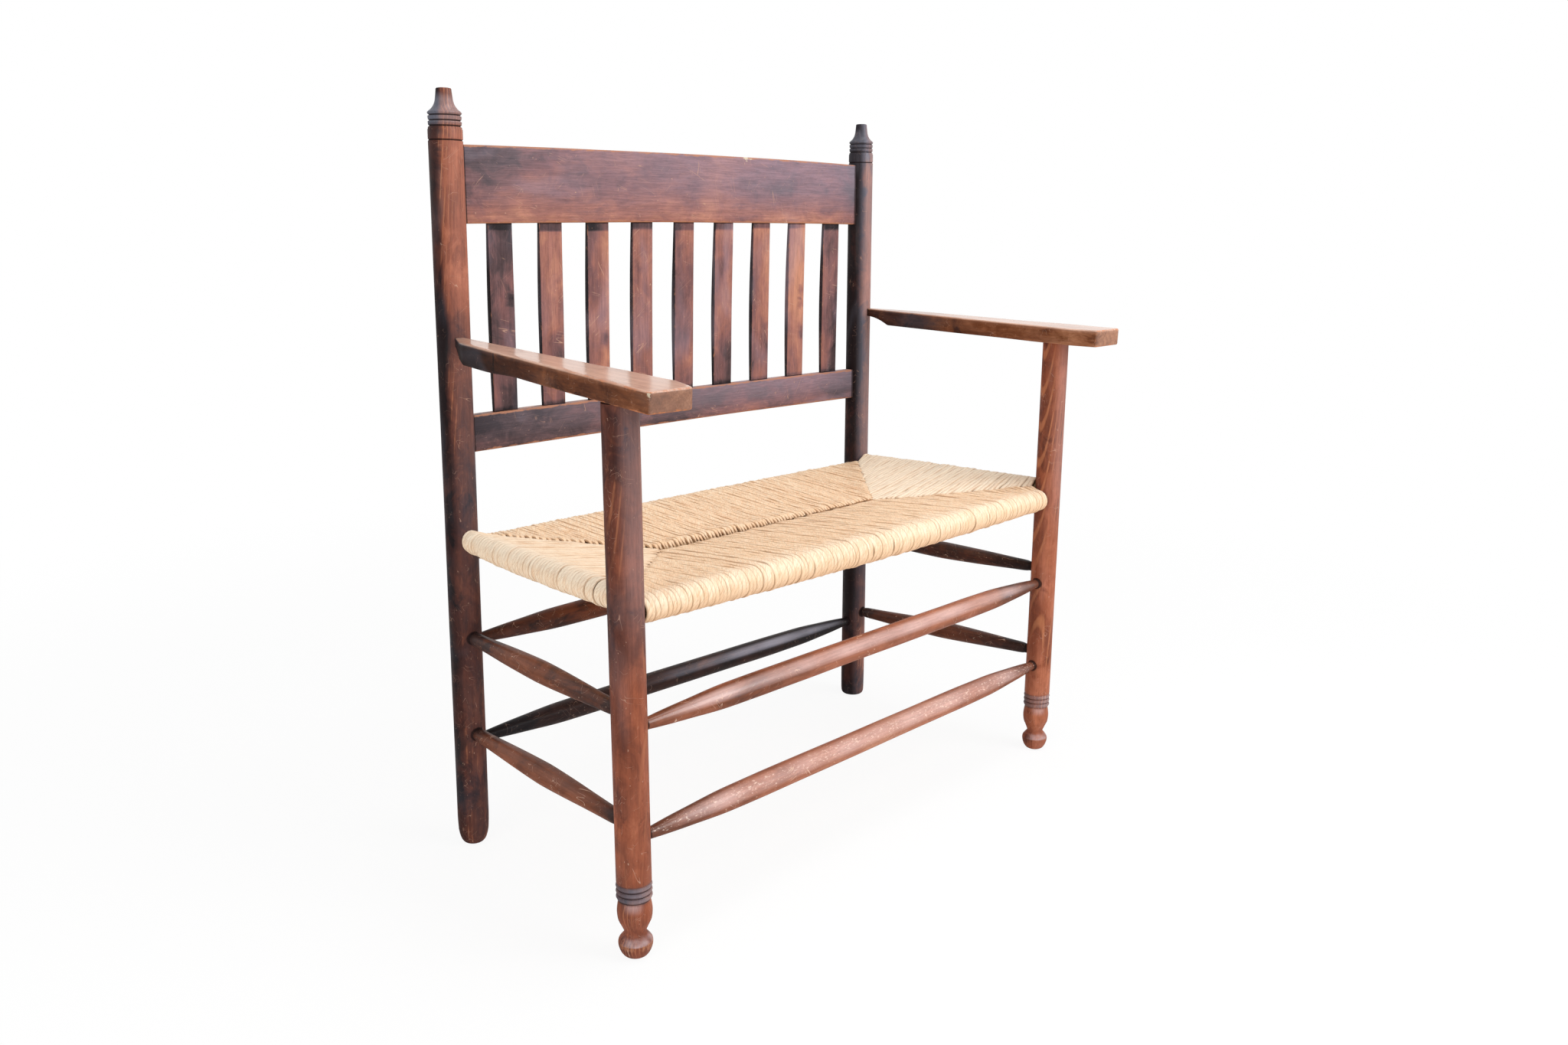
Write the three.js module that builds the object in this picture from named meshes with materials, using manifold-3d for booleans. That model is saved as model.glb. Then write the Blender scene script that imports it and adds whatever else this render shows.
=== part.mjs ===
// A rush-seated settle for two: four turned posts, a slatted back between two bowed rails,
// two flat arms, eight turned stretchers, and a seat of twisted rush wound over four hidden rails.
// Millimetres, +Z up, +Y towards the back, +X to the sitter's left as seen from the front.
// The settle stands on the floor at Z = 0, with the origin under the middle of its outline.
import * as THREE from 'three';
import { mergeVertices } from 'three/addons/utils/BufferGeometryUtils.js';
import Module from 'manifold-3d';

const wasm = await Module();
wasm.setup();

// Driving dimensions: posts, measured on their axes. All four lean back a little,
// the front pair opens towards the arms and the rear pair closes towards the top.
const postRadius = 20.4;
const rearPostHeight = 970.5;
const frontSpanAtFloor = 842;
const frontSpanAtArms = 851;
const frontSetbackAtArms = 14;
const frontLeanHeight = 650;
const rearSpanAtFloor = 792;
const rearSpanAtTop = 775;
const rearSetbackAtTop = 14.6;
const depthAtFloor = 362.5;

// Turned ends of the posts
const finialHeight = 60;
const frontFootHeight = 94;
const rearFootHeight = 40;
const ringGrooveDepth = 1.9;
const ringGrooveWidth = 3.2;
const collarGrooveDepth = 1.1;
const scoredLineDepth = 0.8;
const scoredLineWidth = 1.4;
const footOverrun = 2;

// Back
const crestBelowPostTop = 64.2;
const crestHeight = 93.3;
const crestBow = 3;
const crestArch = 2.5;
const lowerRailTop = 577.4;
const lowerRailHeight = 46.8;
const lowerRailBow = 8;
const backRailThickness = 16;
const backRailAhead = 6.2;
const backRailRounding = 2;
const backRailTenonThickness = 10;
const backRailTenonShoulder = 6;
const slatCount = 9;
const slatEndGap = 34;
const slatWidth = 36.5;
const slatThicknessAtEnds = 4.2;
const slatThicknessAtMiddle = 7.6;
const slatRounding = 0.8;
const slatSeat = 11;
const slatBehindFace = 3.6;

// Arms. The left one drops more towards its front end than the right one.
const armRearTop = 678.5;
const armFrontTopLeft = 664;
const armFrontTopRight = 675;
const armAheadOfFrontPost = 84;
const armThickness = 24;
const armRounding = 2.2;
const armNeckLength = 58;
const armNeckOuter = 6;
const armOuterAtNeck = 30;
const armInnerAtRear = -1;
const armOuterAtFrontLeft = 68;
const armOuterAtFrontRight = 74;
const armInnerAtCorner = -4;
const armInnerAtFront = 7;
const armInnerCornerLength = 39;
const armFrontCornerRadius = 5;
const armScoopRadius = 98;
const armScoopLeaves = 12;
const armScoopFromAxis = 15;
const armTenonWidth = 9;
const armTenonThickness = 8;
const armTenonAside = 5;
const armPostTenonRadius = 10;
const armPostTenonLength = 15;

// Stretchers: height of each end, and the turned forms
const frontUpperLeft = 276.5;
const frontUpperRight = 277.5;
const frontLowerLeft = 143;
const frontLowerRight = 143;
const rearUpperLeft = 282.5;
const rearUpperRight = 283.5;
const rearLowerLeft = 144.5;
const rearLowerRight = 136.5;
const leftUpperFront = 294;
const leftUpperRear = 291.5;
const leftLowerFront = 160.5;
const leftLowerRear = 160;
const rightUpperFront = 298;
const rightUpperRear = 291;
const rightLowerFront = 162.5;
const rightLowerRear = 153.5;
const longBellyRadius = 15.4;
const longTipRadius = 6.6;
const longTaperLength = 190;
const sideBellyRadius = 13.9;
const sideTipRadius = 7.3;
const tipRunOutsidePost = 3;

// Seat: four round rails, and the rush wound over them
const frontRailHeight = 410;
const rearRailHeight = 405;
const sideRailFrontHeight = 425;
const sideRailRearHeight = 420.5;
const seatRailRadius = 9.5;
const seatRailTenonRadius = 6.5;
const seatRailSetIn = 1;
const rollSetIn = 2;
const frontRollAtPosts = 16;
const frontRollAtMiddle = 19;
const rearRollAtPosts = 15;
const rearRollAtMiddle = 18;
const sideRollAtRear = 13.5;
const sideRollAtFront = 16;
const sideRollAtMiddle = 17;
const seamTop = 411;
const seamThickness = 25;
const rushCrown = 3;
const apexSpan = 432;

// Joinery
const tenonDepth = 12;
const fitClearance = 0.3;
const mitreGap = 0.4;
const cutOverrun = 30;

// Counts of facets and stations
const postSides = 20;
const turningSides = 12;
const railSides = 10;
const bowSteps = 10;
const slatSteps = 6;
const scoopSides = 40;
const fieldStations = 10;
const mergeTolerance = 1e-4;

// Turned outlines. Each pair is a share of the post's radius, then a share of the
// height of the turned foot or finial that it belongs to.
const bunShares = [[0.56, 0], [0.76, 0.024], [0.94, 0.09], [1, 0.17], [0.95, 0.235], [0.72, 0.295]];
const vaseShares = [[0.67, 0.325], [0.77, 0.4], [0.95, 0.49], [1, 0.595], [0.96, 0.7], [0.92, 0.755]];
const collarShares = [0.775, 0.85, 0.925, 1];
const rearFootShares = [[0.7, 0], [0.84, 0.05], [0.91, 0.14], [0.95, 0.35], [0.98, 0.7], [1, 1]];
const finialFlareShares = [
  [0.96, 0.555], [0.74, 0.62], [0.6, 0.695], [0.53, 0.77], [0.49, 0.87], [0.45, 0.965],
];
const finialTopShares = [[0.37, 0.99], [0, 1]];
const finialRingShares = [0.27, 0.385, 0.483];
const finialDiscShare = 0.97;

// How far the crest rail's top edge arches, next to its lower edge
const crestTopArchShare = 1.4;

// How much of a roll's swelling hangs below its rail rather than standing above it
const rollDropShare = 0.7;

// How a stretcher swells: share of the taper's length, then share of the swelling
const longTaperShares = [[0.11, 0.22], [0.22, 0.4], [0.35, 0.57], [0.6, 0.88], [0.85, 0.97], [1, 1]];
const sideTaperShares = [
  [0.05, 0.2], [0.2, 0.33], [0.37, 0.5], [0.55, 0.69], [0.72, 0.84], [0.88, 0.95], [1, 1],
];

// Finishes
const postWood = new THREE.MeshStandardMaterial({ color: 0x6d3c2f, roughness: 0.42, metalness: 0 });
const backWood = new THREE.MeshStandardMaterial({ color: 0x5c3530, roughness: 0.45, metalness: 0 });
const armWood = new THREE.MeshStandardMaterial({ color: 0x8a5636, roughness: 0.38, metalness: 0 });
const stretcherWood = new THREE.MeshStandardMaterial({ color: 0x7a4638, roughness: 0.4, metalness: 0 });
const railWood = new THREE.MeshStandardMaterial({ color: 0xa9845c, roughness: 0.8, metalness: 0 });
const rush = new THREE.MeshStandardMaterial({ color: 0xe0c190, roughness: 0.85, metalness: 0 });

const up = new THREE.Vector3(0, 0, 1);
const left = -1;
const right = 1;

const settle = new THREE.Group();

// The four posts, by where their axes run
const frontPost = (side) => ({
  side, spanAtFloor: frontSpanAtFloor, spanAbove: frontSpanAtArms,
  leanHeight: frontLeanHeight, depth: 0, setback: frontSetbackAtArms, cutters: [],
});
const rearPost = (side) => ({
  side, spanAtFloor: rearSpanAtFloor, spanAbove: rearSpanAtTop,
  leanHeight: rearPostHeight, depth: depthAtFloor, setback: rearSetbackAtTop, cutters: [],
});
const posts = {
  frontLeft: frontPost(left), frontRight: frontPost(right),
  rearLeft: rearPost(left), rearRight: rearPost(right),
};

// The point of a post's axis at a height above the floor
function axisAt(post, height) {
  const rise = height / post.leanHeight;
  const span = THREE.MathUtils.lerp(post.spanAtFloor, post.spanAbove, rise);
  return new THREE.Vector3(post.side * span / 2, post.depth + post.setback * rise, height);
}

// A closed solid for cutting and joining, from a geometry whose faces point out
function solidOf(geometry) {
  const bare = geometry.clone();
  bare.deleteAttribute('normal');
  bare.deleteAttribute('uv');
  const merged = mergeVertices(bare, mergeTolerance);
  const corners = merged.index.array;
  const faces = [];
  for (let i = 0; i < corners.length; i += 3) {
    const [a, b, c] = corners.slice(i, i + 3);
    if (a !== b && b !== c && c !== a) faces.push(a, b, c);
  }
  return new wasm.Manifold(new wasm.Mesh({
    numProp: 3,
    vertProperties: new Float32Array(merged.attributes.position.array),
    triVerts: new Uint32Array(faces),
  }));
}

function geometryOf(solid) {
  const mesh = solid.getMesh();
  const geometry = new THREE.BufferGeometry();
  geometry.setAttribute('position', new THREE.BufferAttribute(new Float32Array(mesh.vertProperties), 3));
  geometry.setIndex(new THREE.BufferAttribute(new Uint32Array(mesh.triVerts), 1));
  geometry.computeVertexNormals();
  return geometry;
}

// Changes a mesh by other meshes, each where it stands in the settle
function change(mesh, cutters, action) {
  mesh.updateMatrixWorld();
  const toMesh = mesh.matrixWorld.clone().invert();
  let solid = solidOf(mesh.geometry);
  for (const cutter of cutters) {
    cutter.updateMatrixWorld();
    const moved = cutter.geometry.clone().applyMatrix4(toMesh.clone().multiply(cutter.matrixWorld));
    solid = solid[action](solidOf(moved));
  }
  mesh.geometry = geometryOf(solid);
  return mesh;
}
const cut = (mesh, cutters) => change(mesh, cutters, 'subtract');
const join = (mesh, additions) => change(mesh, additions, 'add');
const keepInside = (mesh, bounds) => change(mesh, bounds, 'intersect');

// Stands a mesh made along Z on the line from one point to another
function standAlong(mesh, from, to) {
  mesh.position.copy(from);
  mesh.quaternion.setFromUnitVectors(up, to.clone().sub(from).normalize());
  return mesh;
}

// Places a mesh by its own axes: across, away and upward are unit vectors
function placeBy(mesh, origin, across, away, upward) {
  const basis = new THREE.Matrix4().makeBasis(across, away, upward);
  mesh.quaternion.setFromRotationMatrix(basis);
  mesh.position.copy(origin);
  return mesh;
}

// A turned solid about Z, from [radius, height] pairs given from the bottom up
function turned(outline, sides) {
  const points = outline.map(([radius, height]) => new THREE.Vector2(radius, height));
  return new THREE.LatheGeometry(points, sides).rotateX(Math.PI / 2);
}

function rod(radius, from, to, sides) {
  return turned([[0, from], [radius, from], [radius, to], [0, to]], sides);
}

// A V-shaped groove in a turned outline
function groove(radius, height, depth, width) {
  return [[radius, height - width / 2], [radius - depth, height], [radius, height + width / 2]];
}

// A smooth stretch of a turned outline through its shares, with a few points between them
function smoothTurning(shares, radius, height, steps) {
  const points = shares.map(([across, along]) => new THREE.Vector2(across * radius, along * height));
  return new THREE.SplineCurve(points).getPoints(steps).map((point) => [point.x, point.y]);
}

// A flat outline made solid along Z from 0 to its height, with rounded upper and lower edges
function board(outline, height, rounding, roundingSteps) {
  const shape = new THREE.Shape(outline);
  const geometry = new THREE.ExtrudeGeometry(shape, {
    depth: height - 2 * rounding, bevelEnabled: true, bevelThickness: rounding,
    bevelSize: rounding, bevelOffset: -rounding, bevelSegments: roundingSteps,
  });
  return geometry.translate(0, 0, rounding);
}

function box(width, depth, height) {
  return new THREE.BoxGeometry(width, depth, height);
}

// Adds a finished piece to the settle under its name
function addPiece(mesh, name, material) {
  mesh.name = name;
  mesh.material = material;
  settle.add(mesh);
  return mesh;
}

// A plain cylinder along a post's axis, for fitting other pieces round the post
function postEnvelope(post, clearance) {
  const reach = rearPostHeight + cutOverrun;
  const mesh = new THREE.Mesh(rod(postRadius + clearance, 0, reach, postSides));
  return standAlong(mesh, axisAt(post, 0), axisAt(post, rearPostHeight));
}

// Stretchers and seat rails: turned pieces from one post's axis to another's

// The ends of a seat rail on its posts' axes, set a little towards the inside of the seat
function railEnds(side) {
  const start = axisAt(side.start, side.startHeight).addScaledVector(side.inward, seatRailSetIn);
  const end = axisAt(side.end, side.endHeight).addScaledVector(side.inward, seatRailSetIn);
  return { start, end, length: start.distanceTo(end) };
}

function tenoned(outlineBetween, length, tipRadius, grow) {
  const tipStart = postRadius - tenonDepth - grow;
  const tipEnd = postRadius + tipRunOutsidePost;
  return [
    [0, tipStart], [tipRadius + grow, tipStart], [tipRadius + grow, tipEnd],
    ...outlineBetween.map(([radius, along]) => [radius + grow, along]),
    [tipRadius + grow, length - tipEnd], [tipRadius + grow, length - tipStart], [0, length - tipStart],
  ];
}

// A stretcher swells from its tips to its belly over a taper at each end
function stretcherOutline(length, tipRadius, bellyRadius, taperLength, taperShares, grow) {
  const tipEnd = postRadius + tipRunOutsidePost;
  const rising = taperShares.map(([along, swell]) => [
    THREE.MathUtils.lerp(tipRadius, bellyRadius, swell), tipEnd + along * taperLength,
  ]);
  const falling = rising.map(([radius, along]) => [radius, length - along]).reverse();
  const meets = falling[0][1] - rising.at(-1)[1] < longTipRadius;
  return tenoned([...rising, ...(meets ? falling.slice(1) : falling)], length, tipRadius, grow);
}

function stretcher(name, startPost, startHeight, endPost, endHeight, form) {
  const start = axisAt(startPost, startHeight);
  const end = axisAt(endPost, endHeight);
  const length = start.distanceTo(end);
  const taperLength = form.taperLength ?? length / 2 - postRadius - tipRunOutsidePost;
  const make = (grow) => standAlong(new THREE.Mesh(turned(
    stretcherOutline(length, form.tipRadius, form.bellyRadius, taperLength, form.taperShares, grow),
    turningSides)), start, end);
  addPiece(make(0), name, stretcherWood);
  const cutter = make(fitClearance);
  startPost.cutters.push(cutter);
  endPost.cutters.push(cutter);
}

function addStretchers() {
  const { frontLeft, frontRight, rearLeft, rearRight } = posts;
  const long = {
    tipRadius: longTipRadius, bellyRadius: longBellyRadius,
    taperLength: longTaperLength, taperShares: longTaperShares,
  };
  const short = { tipRadius: sideTipRadius, bellyRadius: sideBellyRadius, taperShares: sideTaperShares };
  stretcher('stretcher_front_upper', frontLeft, frontUpperLeft, frontRight, frontUpperRight, long);
  stretcher('stretcher_front_lower', frontLeft, frontLowerLeft, frontRight, frontLowerRight, long);
  stretcher('stretcher_rear_upper', rearLeft, rearUpperLeft, rearRight, rearUpperRight, long);
  stretcher('stretcher_rear_lower', rearLeft, rearLowerLeft, rearRight, rearLowerRight, long);
  stretcher('stretcher_left_upper', frontLeft, leftUpperFront, rearLeft, leftUpperRear, short);
  stretcher('stretcher_left_lower', frontLeft, leftLowerFront, rearLeft, leftLowerRear, short);
  stretcher('stretcher_right_upper', frontRight, rightUpperFront, rearRight, rightUpperRear, short);
  stretcher('stretcher_right_lower', frontRight, rightLowerFront, rearRight, rightLowerRear, short);
}

// Seat rails, each set in a little from the line between its posts' axes
const inward = {
  front: new THREE.Vector3(0, 1, 0), rear: new THREE.Vector3(0, -1, 0),
  left: new THREE.Vector3(1, 0, 0), right: new THREE.Vector3(-1, 0, 0),
};
const seatSides = {
  front: {
    start: posts.frontLeft, end: posts.frontRight, inward: inward.front,
    corners: ['frontLeft', 'frontRight'],
    startHeight: frontRailHeight, endHeight: frontRailHeight,
    startRoll: frontRollAtPosts, middleRoll: frontRollAtMiddle, endRoll: frontRollAtPosts,
  },
  rear: {
    start: posts.rearRight, end: posts.rearLeft, inward: inward.rear,
    corners: ['rearRight', 'rearLeft'],
    startHeight: rearRailHeight, endHeight: rearRailHeight,
    startRoll: rearRollAtPosts, middleRoll: rearRollAtMiddle, endRoll: rearRollAtPosts,
  },
  left: {
    start: posts.rearLeft, end: posts.frontLeft, inward: inward.left,
    corners: ['rearLeft', 'frontLeft'],
    startHeight: sideRailRearHeight, endHeight: sideRailFrontHeight,
    startRoll: sideRollAtRear, middleRoll: sideRollAtMiddle, endRoll: sideRollAtFront,
  },
  right: {
    start: posts.frontRight, end: posts.rearRight, inward: inward.right,
    corners: ['frontRight', 'rearRight'],
    startHeight: sideRailFrontHeight, endHeight: sideRailRearHeight,
    startRoll: sideRollAtFront, middleRoll: sideRollAtMiddle, endRoll: sideRollAtRear,
  },
};

function seatRail(side, grow) {
  const { start, end, length } = railEnds(side);
  const shoulder = postRadius + tipRunOutsidePost;
  const between = [
    [seatRailRadius, shoulder + seatRailSetIn], [seatRailRadius, length - shoulder - seatRailSetIn],
  ];
  const outline = tenoned(between, length, seatRailTenonRadius, grow);
  return standAlong(new THREE.Mesh(turned(outline, railSides)), start, end);
}

function addSeatRails() {
  for (const [place, side] of Object.entries(seatSides)) {
    addPiece(seatRail(side, 0), `seat_rail_${place}`, railWood);
    const cutter = seatRail(side, fitClearance);
    side.start.cutters.push(cutter);
    side.end.cutters.push(cutter);
  }
}

// The rush seat: four fields, each wound over its rail and meeting its neighbours on mitres.
// Neighbours share a corner, so that both run to the same mitre.

const seatCorners = {
  frontLeft: axisAt(posts.frontLeft, frontRailHeight),
  frontRight: axisAt(posts.frontRight, frontRailHeight),
  rearLeft: axisAt(posts.rearLeft, rearRailHeight), rearRight: axisAt(posts.rearRight, rearRailHeight),
};
const seamBottom = seamTop - seamThickness;
const seamDepth = (seatCorners.frontLeft.y + seatCorners.rearLeft.y) / 2;
const apexes = {
  left: new THREE.Vector3(-apexSpan / 2, seamDepth, 0),
  right: new THREE.Vector3(apexSpan / 2, seamDepth, 0),
};

// Half the clearance that fields keep on their mitres, taken off every edge of a convex outline
function inset(outline, distance) {
  const count = outline.length;
  const edges = outline.map((point, i) => {
    const along = outline[(i + 1) % count].clone().sub(point).normalize();
    const normal = new THREE.Vector2(-along.y, along.x);
    return { point: point.clone().addScaledVector(normal, distance), along };
  });
  return edges.map((edge, i) => {
    const before = edges[(i + count - 1) % count];
    const gap = edge.point.clone().sub(before.point);
    const reach = gap.cross(edge.along) / before.along.cross(edge.along);
    return before.point.clone().addScaledVector(before.along, reach);
  });
}

// The plan of one field as an upright prism: its two corners, pushed out past the roll, and its apexes
function fieldPrism(side, innerPoints) {
  const pushedOut = side.corners.map((corner, i) => {
    const towards = i === 0 ? innerPoints.at(-1) : innerPoints[0];
    const outwards = seatCorners[corner].clone().sub(towards).setZ(0).normalize();
    return seatCorners[corner].clone().addScaledVector(outwards, cutOverrun + side.middleRoll);
  });
  const outline = [...pushedOut, ...innerPoints].map((point) => new THREE.Vector2(point.x, point.y));
  const shape = new THREE.Shape(inset(outline, mitreGap / 2));
  const height = seamTop - seamBottom + 4 * cutOverrun;
  const geometry = new THREE.ExtrudeGeometry(shape, { depth: height, bevelEnabled: false });
  return new THREE.Mesh(geometry.translate(0, 0, seamBottom - 2 * cutOverrun));
}

// The section of a field at one place along its rail: over the top from the seam to the roll,
// round the roll, and back underneath. Across is 0 over the rail and grows inwards.
function fieldSection(rollRadius, drop, reach, innerTop, innerBottom) {
  const topShares = [1, 0.75, 0.5, 0.25];
  const bottomShares = [0.33, 0.66, 1];
  const rollSteps = 7;
  const over = topShares.map((share) => {
    const slope = THREE.MathUtils.lerp(rollRadius - drop, innerTop, Math.sin(Math.PI / 2 * share));
    return [THREE.MathUtils.lerp(rollSetIn, reach, share), slope + rushCrown * Math.sin(Math.PI * share)];
  });
  const round = Array.from({ length: rollSteps + 1 }, (_, i) => {
    const turn = Math.PI * i / rollSteps;
    return [rollSetIn - rollRadius * Math.sin(turn), rollRadius * Math.cos(turn) - drop];
  });
  const under = bottomShares.map((share) => [
    THREE.MathUtils.lerp(rollSetIn, reach, share),
    THREE.MathUtils.lerp(-rollRadius - drop, innerBottom, share),
  ]);
  return [...over, ...round, ...under];
}

// A closed skin over a row of sections with the same number of points
function skinOver(sections) {
  const ring = sections[0].length;
  const positions = sections.flat(2);
  const faces = [];
  for (let s = 0; s + 1 < sections.length; s += 1) {
    for (let i = 0; i < ring; i += 1) {
      const next = (i + 1) % ring;
      const [a, b, c, d] = [s * ring + i, s * ring + next, (s + 1) * ring + next, (s + 1) * ring + i];
      faces.push(a, b, c, a, c, d);
    }
  }
  const last = (sections.length - 1) * ring;
  const flat = sections[0].map(([, across, height]) => new THREE.Vector2(across, height));
  for (const [a, b, c] of THREE.ShapeUtils.triangulateShape(flat, [])) {
    faces.push(a, c, b, last + a, last + b, last + c);
  }
  const geometry = new THREE.BufferGeometry();
  geometry.setAttribute('position', new THREE.Float32BufferAttribute(positions, 3));
  geometry.setIndex(faces);
  return geometry;
}

function rushField(side, innerPoints) {
  const { start, end, length } = railEnds(side);
  const along = end.clone().sub(start).normalize();
  const towardsSeam = up.clone().cross(along).normalize();
  const upward = along.clone().cross(towardsSeam);
  const depths = innerPoints.map((point) => point.clone().sub(start).dot(towardsSeam));
  const reach = Math.max(...depths) + mitreGap;
  const sections = Array.from({ length: fieldStations + 1 }, (_, i) => {
    const share = i / fieldStations;
    const swell = Math.sin(Math.PI * share);
    const rollHere = THREE.MathUtils.lerp(side.startRoll, side.endRoll, share);
    const rollRadius = THREE.MathUtils.lerp(rollHere, side.middleRoll, swell);
    const drop = rollRadius - rollHere;
    const railHeight = THREE.MathUtils.lerp(side.startHeight, side.endHeight, share);
    const section = fieldSection(
      rollRadius, drop * rollDropShare, reach, seamTop - railHeight, seamBottom - railHeight);
    return section.map(([across, height]) => [share * length, across, height]);
  });
  const field = placeBy(new THREE.Mesh(skinOver(sections)), start, along, towardsSeam, upward);
  keepInside(field, [fieldPrism(side, innerPoints)]);
  return cut(field, [
    seatRail(side, fitClearance),
    postEnvelope(side.start, fitClearance),
    postEnvelope(side.end, fitClearance),
  ]);
}

function addRush() {
  const inner = {
    front: [apexes.right, apexes.left], rear: [apexes.left, apexes.right],
    left: [apexes.left], right: [apexes.right],
  };
  for (const [place, side] of Object.entries(seatSides)) {
    addPiece(rushField(side, inner[place]), `rush_${place}`, rush);
  }
}

// The back: a crest rail, a lower rail, and slats let into both

const crestTop = rearPostHeight - crestBelowPostTop;
const crestBottom = crestTop - crestHeight;

// Slats are spaced evenly between the end gaps that they leave beside the posts
const slatSpan = 2 * (axisAt(posts.rearRight, crestBottom).x - postRadius - slatEndGap) - slatWidth;
const slatPitch = slatSpan / (slatCount - 1);

// How far back of the posts' line a bowed rail lies at a place across the settle
function bowAt(x, height, bow) {
  const half = axisAt(posts.rearRight, height).x;
  return bow * (1 - (x / half) ** 2);
}

// The middle of a back rail, and its own upward direction, which follows the lean of the rear posts
const backRise = axisAt(posts.rearRight, rearPostHeight).sub(axisAt(posts.rearRight, 0));
const backLean = backRise.setX(0).normalize();
const backAway = backLean.clone().cross(new THREE.Vector3(1, 0, 0));
function inBackFrame(mesh, x, height, back) {
  const origin = axisAt(posts.rearRight, height).setX(x).addScaledVector(backAway, back);
  return placeBy(mesh, origin, new THREE.Vector3(1, 0, 0), backAway, backLean);
}

function backRail(name, bottom, top, bow, arch) {
  const middle = (bottom + top) / 2;
  const half = axisAt(posts.rearRight, middle).x;
  const places = Array.from({ length: bowSteps + 1 }, (_, i) => half * (2 * i / bowSteps - 1));
  const face = places.map((x) => new THREE.Vector2(x, bowAt(x, middle, bow) - backRailAhead));
  const back = face.map(({ x, y }) => new THREE.Vector2(x, y + backRailThickness));
  const height = top - bottom;
  const geometry = board([...face, ...back.reverse()], height, backRailRounding, 1);
  const positions = geometry.attributes.position;
  for (let i = 0; i < positions.count; i += 1) {
    const raised = arch * (1 - (positions.getX(i) / half) ** 2);
    const share = positions.getZ(i) < height / 2 ? 1 : crestTopArchShare;
    positions.setZ(i, positions.getZ(i) + raised * share);
  }
  const rail = inBackFrame(new THREE.Mesh(geometry), 0, bottom, 0);
  cut(rail, [postEnvelope(posts.rearLeft, fitClearance), postEnvelope(posts.rearRight, fitClearance)]);
  for (const post of [posts.rearLeft, posts.rearRight]) {
    const reach = 2 * tenonDepth;
    const tenonHeight = height - 2 * backRailTenonShoulder;
    const tipX = Math.abs(axisAt(post, middle).x) - postRadius + tenonDepth;
    const tenon = (grow) => {
      const shape = box(reach + grow, backRailTenonThickness + 2 * grow, tenonHeight + 2 * grow);
      const mesh = new THREE.Mesh(shape.translate(0, backRailThickness / 2 - backRailAhead, 0));
      return inBackFrame(mesh, post.side * (tipX - reach / 2 + grow / 2), middle, 0);
    };
    join(rail, [tenon(0)]);
    post.cutters.push(tenon(fitClearance));
  }
  return rail;
}

// A slat is flat in front, and thins towards both ends at the back
function slat(length, grow) {
  const thinning = slatThicknessAtMiddle - slatThicknessAtEnds;
  const back = Array.from({ length: slatSteps + 1 }, (_, i) => {
    const share = i / slatSteps;
    const swell = Math.sin(Math.PI * share);
    return new THREE.Vector2(length * share, slatThicknessAtEnds + thinning * swell);
  });
  const outline = [new THREE.Vector2(0, 0), new THREE.Vector2(length, 0), ...back.reverse()];
  const backOfSeat = slatThicknessAtMiddle + grow;
  const seat = [[-grow, -grow], [length + grow, -grow], [length + grow, backOfSeat], [-grow, backOfSeat]]
    .map(([along, behind]) => new THREE.Vector2(along, behind));
  const geometry = board(grow === 0 ? outline : seat, slatWidth + 2 * grow, slatRounding, 1);
  return geometry.translate(0, 0, -slatWidth / 2 - grow);
}

function addBack() {
  const crest = backRail('crest_rail', crestBottom, crestTop, crestBow, crestArch);
  const lower = backRail('lower_back_rail', lowerRailTop - lowerRailHeight, lowerRailTop, lowerRailBow, 0);
  for (let i = 0; i < slatCount; i += 1) {
    const x = slatPitch * (i - (slatCount - 1) / 2);
    const setBack = slatBehindFace - backRailAhead;
    const foot = axisAt(posts.rearRight, lowerRailTop).setX(x)
      .addScaledVector(backAway, bowAt(x, lowerRailTop, lowerRailBow) + setBack);
    const archHere = crestArch * (1 - (x / axisAt(posts.rearRight, crestBottom).x) ** 2);
    const head = axisAt(posts.rearRight, crestBottom + archHere).setX(x)
      .addScaledVector(backAway, bowAt(x, crestBottom, crestBow) + setBack);
    const upward = head.clone().sub(foot).normalize();
    const length = head.distanceTo(foot) + 2 * slatSeat;
    const across = new THREE.Vector3(1, 0, 0);
    const away = upward.clone().cross(across).normalize();
    const start = foot.clone().addScaledVector(upward, -slatSeat);
    const sideways = across.clone().negate();
    const make = (grow) => placeBy(new THREE.Mesh(slat(length, grow)), start, upward, away, sideways);
    addPiece(make(0), `back_slat_${i + 1}`, backWood);
    cut(crest, [make(fitClearance)]);
    cut(lower, [make(fitClearance)]);
  }
  addPiece(crest, 'crest_rail', backWood);
  addPiece(lower, 'lower_back_rail', backWood);
}

// Arms: flat boards that widen towards the front, scooped out underneath where they meet the rear posts

function armOutline(side, length, outerAtFront) {
  const cornerStart = length - armInnerCornerLength;
  const radius = armFrontCornerRadius;
  const points = [
    [armInnerAtRear, -postRadius / 2], [armNeckOuter, -postRadius / 2], [armOuterAtNeck, -armNeckLength],
    [outerAtFront, -length + radius], [outerAtFront - radius / 3, -length + radius / 3],
    [outerAtFront - radius, -length], [armInnerAtFront + radius, -length],
    [armInnerAtFront + radius / 4, -length + radius / 2], [armInnerAtCorner, -cornerStart],
  ];
  const outline = points.map(([x, y]) => new THREE.Vector2(side * x, y));
  return side === left ? outline : outline.reverse();
}

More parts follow.
